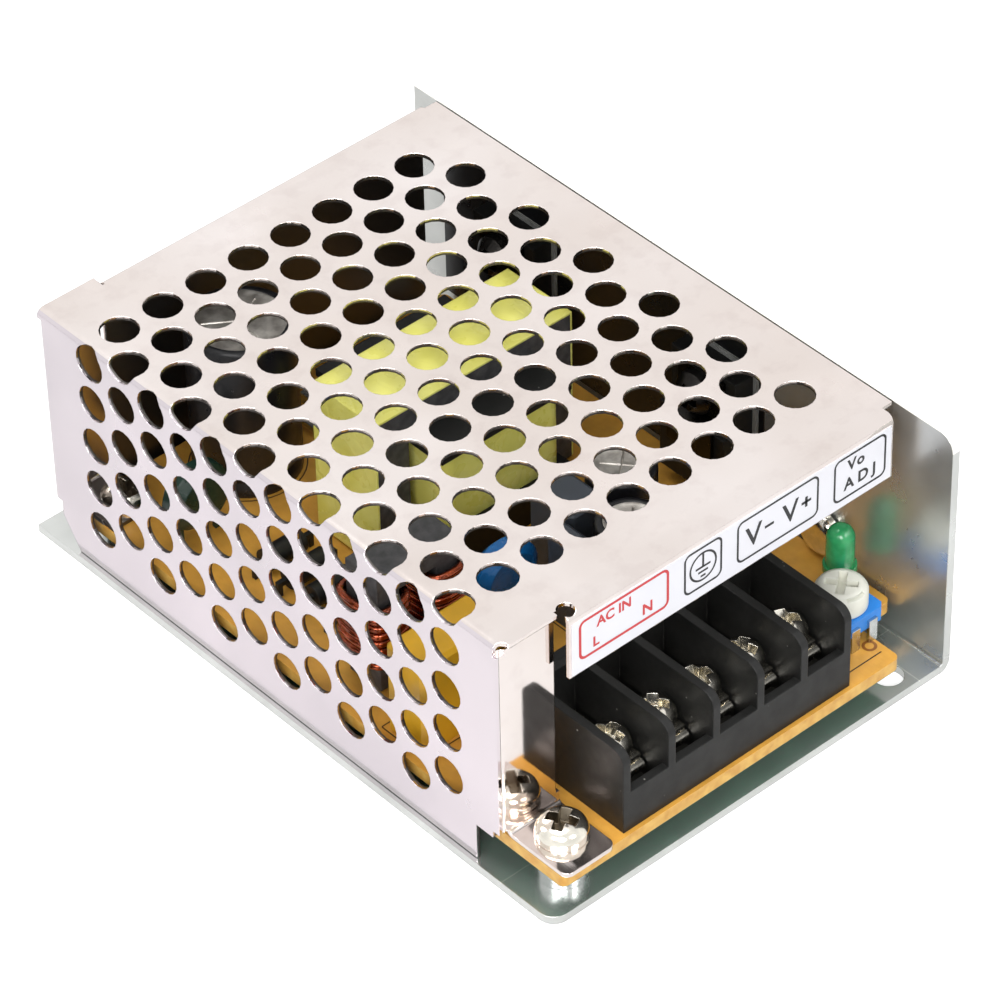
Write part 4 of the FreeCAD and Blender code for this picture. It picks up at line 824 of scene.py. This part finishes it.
class SUPPLY_OT_fixings(Operator):
    """Build the board screws and the screw on the wall, and finish the pillars"""
    bl_idname = "supply.fixings"
    bl_label = "Fixings"

    def execute(self, context):
        parts = context.scene.supply_parts
        finish_node("standoffs", "steel")
        finish_node("clip_screws", "dark_steel")
        finish_node("spring_clips", "dark_steel")
        self.board_screws(parts)
        self.wall_screw(parts)
        return {"FINISHED"}

    def board_screws(self, parts):
        """The three board screws with domed heads and cross recesses."""
        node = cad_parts["board_screws"]
        height = 2.3
        heads = []
        for group in clusters([vertex.co for vertex in node.data.vertices], 8 * MM):
            low, high = bounds_of(group)
            spot, radius, tall = round_shape(low, high)
            screw = recessed_screw(radius, height, 1.5, 4.1, tall - height, parts)
            heads.append(placed(screw, spin(math.degrees(0.5 + len(heads))),
                                shift(spot.x, spot.y, high[2] - height * MM)))
        item = to_object("board_screws_with_cross", joined(*heads), "nickel", BODY, 35)
        # The walls of the cross recesses take the darker nickel, as painted shade
        item.data.materials.append(FINISHES["recess"])
        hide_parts("board_screws")

    def wall_screw(self, parts):
        """A plain domed head on the inner face of the wall, its axis along X."""
        low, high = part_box("wall_screw")
        spot = centre_of(low, high)
        radius = (high[2] - low[2]) / 2 / MM
        height = 1.7
        dome = ((1, 0), (1, 0.3), (0.96, 0.55), (0.85, 0.78), (0.65, 0.93), (0.35, 1), (0, 1))
        head = turned([(0, 0)] + [(radius * out, height * up) for out, up in dome], parts.turns)
        screw = placed(joined(head, threaded((high[0] - low[0]) / MM - height)),
                       spin(math.degrees(0.6)), spin(-90, "Y"),
                       shift(low[0] + height * MM, spot.y, spot.z))
        item = to_object("wall_screw_domed", screw, "nickel", BODY, 35)
        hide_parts("wall_screw")


def clusters(spots, reach):
    """Groups points whose plan places lie within a reach of the first point of the group."""
    groups = []
    for spot in spots:
        for group in groups:
            if (group[0] - spot).xy.length < reach:
                group.append(spot)
                break
        else:
            groups.append([spot])
    return groups


class SUPPLY_OT_trimmer(Operator):
    """Build the trimmer's rotor and finish its base and legs"""
    bl_idname = "supply.trimmer"
    bl_label = "Trimmer"

    def execute(self, context):
        parts = context.scene.supply_parts
        finish_node("trimmer_base", "blue_moulding")
        finish_node("trimmer_legs", "steel")
        low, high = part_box("trimmer_rotor")
        spot, radius, height = round_shape(low, high)
        disc = turned([(0, 0), (radius - 0.1, 0), (radius, 0.15), (radius, height - 0.75),
                       (radius - 0.25, height - 0.35), (radius - 0.75, height - 0.05),
                       (radius - 1.0, height), (0, height)], parts.turns)
        cutter = cross(height, 1.3, 3.9, 1.0, 0.75)
        rim = turned([(radius - 0.62, height - 0.5), (radius + 0.2, height - 0.5),
                      (radius + 0.2, height - 0.22), (radius - 0.62, height - 0.22)], 12, math.radians(50))
        rotor = carved(disc, joined(cutter, placed(rim, spin(200))))
        placed(rotor, spin(38), shift(spot.x, spot.y, low[2]))
        item = to_object("rotor_with_slots", rotor, "white_moulding", "rotor", 32)
        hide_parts("trimmer_rotor")
        return {"FINISHED"}


class SUPPLY_OT_lamp(Operator):
    """Build the indicator lamp with its leads inside the lens"""
    bl_idname = "supply.lamp"
    bl_label = "Indicator lamp"

    def execute(self, context):
        parts = context.scene.supply_parts
        low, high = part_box("lamp_lens")
        spot, flange, height = round_shape(low, high)
        radius = 1.6
        dome = [(radius * math.cos(turn), height - radius + radius * math.sin(turn))
                for turn in (math.radians(step) for step in range(0, 90, 10))]
        lens = turned([(0, 0), (flange, 0), (flange, 0.95), (flange - 0.05, 1.0), (radius + 0.02, 1.0)]
                      + dome + [(0, height)], parts.turns)
        place = shift(spot.x, spot.y, low[2])
        item = to_object("tinted_lens", placed(lens, place), "green_lens")
        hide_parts("lamp_lens")
        post = block(mm(-0.9, -0.3, 0.3), mm(-0.2, 0.3, 3.3), 0.06 * MM)
        anvil = block(mm(0.35, -1.3, 0.1), mm(0.75, -0.9, 3.6), 0.06 * MM)
        to_object("lamp_leads_inside", placed(joined(post, anvil), place), "nickel", BODY, 35)
        finish_node("lamp_leads", "steel")
        return {"FINISHED"}


class SUPPLY_OT_board(Operator):
    """Finish the circuit board and print the outlines of its parts"""
    bl_idname = "supply.board"
    bl_label = "Circuit board"

    def execute(self, context):
        finish_node("circuit_board", "circuit_board")
        board_low, board_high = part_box("circuit_board")
        lift = shift(0, 0, board_high[2] + 0.02 * MM)
        line = 0.16 * MM
        outlines = []
        for node, gap in (("fuse", 0.5), ("x_capacitor", 0.5), ("transformer_bobbin", 0.6),
                          ("optocoupler", 0.6), ("film_capacitor", 0.4)):
            low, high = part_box(node)
            outlines.append(frame_mark([value - gap * MM for value in low[:2]],
                                       [value + gap * MM for value in high[:2]], line, 0.3 * MM))
        low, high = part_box("bulk_capacitor")
        spot = centre_of(low, high)
        outlines.append(ring_mark(spot.x, spot.y, (high[0] - low[0]) / 2 + 0.5 * MM, line))
        low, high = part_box("lamp_lens")
        spot = centre_of(low, high)
        outlines.append(ring_mark(spot.x, spot.y, 2.1 * MM, line))
        level = board_low[1] + 1.95 * MM
        outlines.append(bar_mark((14.8 * MM, level - line / 2), (20.9 * MM, level + line / 2)))
        low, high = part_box("trimmer_legs")
        pad = ring_mark(high[0] - 1.5 * MM, low[1] - 0.35 * MM, 0.85 * MM, 0.35 * MM)
        to_object("board_pad", placed(pad, lift), "board_pad")
        print_layer = placed(joined(*outlines), lift)
        # The outlines end 0.3 mm inside the board's edges
        for axis, bound, outwards in ((0, board_low, -1), (0, board_high, 1), (1, board_low, -1),
                                      (1, board_high, 1)):
            spot, normal = Vector((0, 0, 0)), Vector((0, 0, 0))
            spot[axis] = bound[axis] - outwards * 0.3 * MM
            normal[axis] = outwards
            everything = list(print_layer.verts) + list(print_layer.edges) + list(print_layer.faces)
            bmesh.ops.bisect_plane(print_layer, geom=everything, plane_co=spot, plane_no=normal,
                                   clear_outer=True)
        to_object("board_outlines", print_layer, "board_ink")
        return {"FINISHED"}


class SUPPLY_OT_transformer(Operator):
    """Finish the transformer's core, bobbin, coil and tape"""
    bl_idname = "supply.transformer"
    bl_label = "Transformer"

    def execute(self, context):
        for name, finish in (("core", "ferrite"), ("bobbin", "black_moulding"), ("coil", "yellow_tape"),
                             ("tape", "yellow_tape")):
            finish_node(f"transformer_{name}", finish)
        return {"FINISHED"}


def can_with_vent(radius, height, steps, reach, angles):
    """A rolled can top inside its sleeve: the aluminium part, in millimetres."""
    bead = ((0.5, 1.2), (0.5, 0.35), (0.65, 0.12), (0.9, 0.06), (1.2, 0.14), (1.45, 0.22))
    top = turned([(0, height - 1.2)] + [(radius - inset, height - drop) for inset, drop in bead]
                 + [(0, height - 0.2)], steps)
    cutters = []
    for angle in angles:
        groove = block(mm(0, -0.12, -0.12), mm(reach, 0.12, 0.12))
        cutters.append(placed(groove, spin(45, "X"), spin(angle), shift(0, 0, (height - 0.16) * MM)))
    return carved(top, joined(*cutters))


def sleeve_of(radius, height, steps):
    """A shrunk sleeve with a waist near its foot and a lip rolled over the top."""
    foot = ((0.1, 0), (0, 0.15), (0, 1.4), (0.32, 1.85), (0.32, 2.1), (0, 2.55))
    lip = ((0, 0.45), (0.1, 0.16), (0.35, 0.02), (0.75, 0), (0.95, 0.06), (0.95, 0.5))
    return turned([(0, 0)] + [(radius - inset, level) for inset, level in foot]
                  + [(radius - inset, height - drop) for inset, drop in lip] + [(0, height - 0.5)], steps)


class SUPPLY_OT_capacitors(Operator):
    """Build the round capacitors and finish the flat ones"""
    bl_idname = "supply.capacitors"
    bl_label = "Capacitors"

    def execute(self, context):
        steps = context.scene.supply_parts.turns
        self.can("bulk", [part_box("bulk_capacitor")], steps, 4.2, (25, 145, 265), "bulk_capacitor")
        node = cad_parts["output_capacitors"]
        cans = clusters([vertex.co for vertex in node.data.vertices], 9.5 * MM)
        boxes = [bounds_of(group) for group in cans]
        self.can("output", boxes, steps, 2.4, (40, 130, 220, 310), "output_capacitors")
        finish_node("x_capacitor", "yellow_case")
        finish_node("y_capacitor", "blue_coating")
        finish_node("film_capacitor", "slate")
        return {"FINISHED"}

    def can(self, name, boxes, steps, reach, angles, node):
        """Sleeves and tops in some boxes, the tops scored from the middle outwards at angles in degrees."""
        sleeves, tops = [], []
        for low, high in boxes:
            spot, radius, height = round_shape(low, high)
            place = shift(spot.x, spot.y, low[2])
            sleeves.append(placed(sleeve_of(radius, height, steps), place))
            tops.append(placed(can_with_vent(radius, height, steps, reach, angles), place))
        item = to_object(f"{name}_sleeves", joined(*sleeves), "sleeve")
        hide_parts(node)
        to_object(f"{name}_can_tops", joined(*tops), "can_top")


class SUPPLY_OT_choke(Operator):
    """Wind the copper turns of the mains choke and finish its core"""
    bl_idname = "supply.choke"
    bl_label = "Mains choke"

    def execute(self, context):
        finish_node("choke_core", "ferrite")
        finish_node("output_inductor", "slate")
        wire = context.scene.supply_parts.choke_wire
        steps = 12
        items = []
        for index, (low, high) in enumerate(halves(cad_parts["choke_windings"])):
            turns = int((high[2] - low[2] - wire) / wire)
            pitch = (high[2] - low[2] - wire) / turns
            spot = centre_of(low, high)
            reach_x, reach_y = (high[0] - low[0]) / 2 - wire / 2, (high[1] - low[1]) / 2 - wire / 2
            points = []
            for step in range(turns * steps + 1):
                turn = step * 2 * math.pi / steps
                points.append((spot.x + reach_x * squared(math.cos(turn)),
                               spot.y + reach_y * squared(math.sin(turn)),
                               low[2] + wire / 2 + pitch * step / steps))
            items.append(tube(f"choke_wire_{index + 1}", points, wire / 2, "copper"))
        for item in items:
            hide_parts("choke_windings")
        return {"FINISHED"}


def squared(value):
    """A sine or cosine bent so that the circle it draws becomes a rounded square."""
    return math.copysign(abs(value) ** 0.55, value)


def halves(node):
    """Boxes of the two groups of points of a node, split across the middle of X."""
    spots = [vertex.co for vertex in node.data.vertices]
    low, high = bounds_of(spots)
    split = (low[0] + high[0]) / 2
    return [bounds_of([spot for spot in spots if spot.x < split]),
            bounds_of([spot for spot in spots if spot.x > split])]


class SUPPLY_OT_small_parts(Operator):
    """Finish the power devices and the small parts on the board"""
    bl_idname = "supply.small_parts"
    bl_label = "Small parts"

    def execute(self, context):
        for name in ("output_rectifier", "power_transistor", "rectifier_diodes", "fuse"):
            finish_node(name, "black_moulding")
        for name, finish in (("insulator_pads", "pad"), ("resistors", "blue_coating"),
                             ("wire_links", "steel"), ("optocoupler", "white_moulding"),
                             ("thermistor", "green_coating")):
            finish_node(name, finish)
        self.film()
        return {"FINISHED"}

    def film(self):
        """A black film on the wall, cut out round the two power devices, that paints shade on the right side
        of the inside.
        """
        low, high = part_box("circuit_board")
        foot = high[2] + 0.3 * MM
        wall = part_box("insulator_pads")[1][0]
        sheet = block((wall - 0.12 * MM, -14.6 * MM, foot), (wall - 0.03 * MM, high[1], 31 * MM))
        gap = 0.75 * MM
        past = 1 * MM
        openings = []
        for name in ("output_rectifier", "power_transistor"):
            low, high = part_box(name)
            openings.append(block((wall - past, low[1] - gap, foot - 1.3 * MM),
                                  (wall + past, high[1] + gap, high[2] + gap)))
        to_object("wall_shade_film", carved(sheet, joined(*openings)), "shade_film")


class SUPPLY_OT_stage(Operator):
    """Set the white floor, the soft light and the camera"""
    bl_idname = "supply.stage"
    bl_label = "Stage"

    def execute(self, context):
        stage = context.scene.supply_stage
        self.floor()
        self.world(stage)
        self.lamp("key_softbox", (-0.6, -0.72, 0.6), 0.5, stage.key)
        self.lamp("front_softbox", (0.12, -0.92, 0.68), 0.4, stage.front)
        self.lamp("top_softbox", (-0.12, 0.1, 1.05), 0.7, stage.top)
        self.lamp("side_softbox", (-0.8, -0.28, 0.6), 0.4, stage.side)
        camera = linked("camera", bpy.data.cameras.new("camera"))
        camera.location = CAMERA_PLACE
        camera.rotation_euler = [math.radians(turn) for turn in CAMERA_TURNS]
        camera.data.lens = stage.lens
        camera.data.sensor_width = 36
        context.scene.camera = camera
        context.scene.view_settings.view_transform = "Standard"
        return {"FINISHED"}

    def floor(self):
        """White card: matt, brought to white where it is looked at, and a little where it is mirrored."""
        bm = bmesh.new()
        bmesh.ops.create_grid(bm, x_segments=1, y_segments=1, size=1.5, matrix=shift(0, 0, -0.05 * MM))
        floor = linked("floor", meshed("floor", bm))
        material, tree, place = begin("white_card")
        colour = mottled(tree, place, linear("D6D6D6"), linear("D3D3D3"), 80 * MM)
        path = add(tree, "ShaderNodeLightPath").outputs
        mirrored = combine(tree, "MAXIMUM", path["Is Glossy Ray"], path["Is Transmission Ray"])
        glow = combine(tree, "ADD", combine(tree, "MULTIPLY", path["Is Camera Ray"], 0.55),
                       combine(tree, "MULTIPLY", mirrored, 0.06))
        close(material, tree, {"Base Color": colour, "Roughness": 0.9, "Specular IOR Level": 0.0,
                               "Emission Color": linear("FFFFFF"), "Emission Strength": glow})
        floor.data.materials.append(material)

    def world(self, stage):
        """Even white light, full where a ray comes from the camera, a mirror or through glass."""
        world = bpy.data.worlds.new("white_surround")
        world.use_nodes = True
        tree = world.node_tree
        tree.nodes.clear()
        path = add(tree, "ShaderNodeLightPath").outputs
        seen = combine(tree, "MAXIMUM", path["Is Camera Ray"], path["Is Glossy Ray"])
        seen = combine(tree, "MAXIMUM", seen, path["Is Transmission Ray"])
        light = add(tree, "ShaderNodeBackground", {"Color": linear("FFFFFF"),
                                                   "Strength": ranged(tree, seen, 0, 1, stage.fill)})
        add(tree, "ShaderNodeOutputWorld", {"Surface": light.outputs["Background"]})
        bpy.context.scene.world = world

    def lamp(self, name, place, size, power):
        """A round soft light at a place in metres, turned to the origin."""
        data = bpy.data.lights.new(name, "AREA")
        data.shape = "DISK"
        data.size = size
        data.energy = power
        item = linked(name, data)
        item.location = place
        item.rotation_euler = (-Vector(place)).to_track_quat("-Z", "Y").to_euler()


class SUPPLY_PT_panel(Panel):
    bl_idname = "SUPPLY_PT_panel"
    bl_label = "Power supply"
    bl_space_type = "VIEW_3D"
    bl_region_type = "UI"
    bl_category = "Supply"

    def draw(self, context):
        for operator in OPERATORS:
            self.layout.operator(operator.bl_idname)
        for key in GROUPS:
            group = getattr(context.scene, key)
            column = self.layout.column()
            for name in group.bl_rna.properties.keys():
                if name not in ("rna_type", "name"):
                    column.prop(group, name)


OPERATORS = (SUPPLY_OT_stage, SUPPLY_OT_sheets, SUPPLY_OT_label, SUPPLY_OT_terminals, SUPPLY_OT_fixings,
             SUPPLY_OT_trimmer, SUPPLY_OT_lamp, SUPPLY_OT_board, SUPPLY_OT_transformer, SUPPLY_OT_capacitors,
             SUPPLY_OT_choke, SUPPLY_OT_small_parts)
GROUPS = {"supply_sheets": SupplySheets, "supply_marks": SupplyMarks, "supply_parts": SupplyParts,
          "supply_stage": SupplyStage}


def register():
    for group in GROUPS.values():
        bpy.utils.register_class(group)
    for name, group in GROUPS.items():
        setattr(bpy.types.Scene, name, PointerProperty(type=group))
    for operator in OPERATORS:
        bpy.utils.register_class(operator)
    bpy.utils.register_class(SUPPLY_PT_panel)


def unregister():
    bpy.utils.unregister_class(SUPPLY_PT_panel)
    for operator in reversed(OPERATORS):
        bpy.utils.unregister_class(operator)
    for name in GROUPS:
        delattr(bpy.types.Scene, name)
    for group in reversed(list(GROUPS.values())):
        bpy.utils.unregister_class(group)


def main():
    register()
    prepare_finishes()
    for operator in OPERATORS:
        group, name = operator.bl_idname.split(".")
        getattr(getattr(bpy.ops, group), name)()


if __name__ == "__main__":
    main()
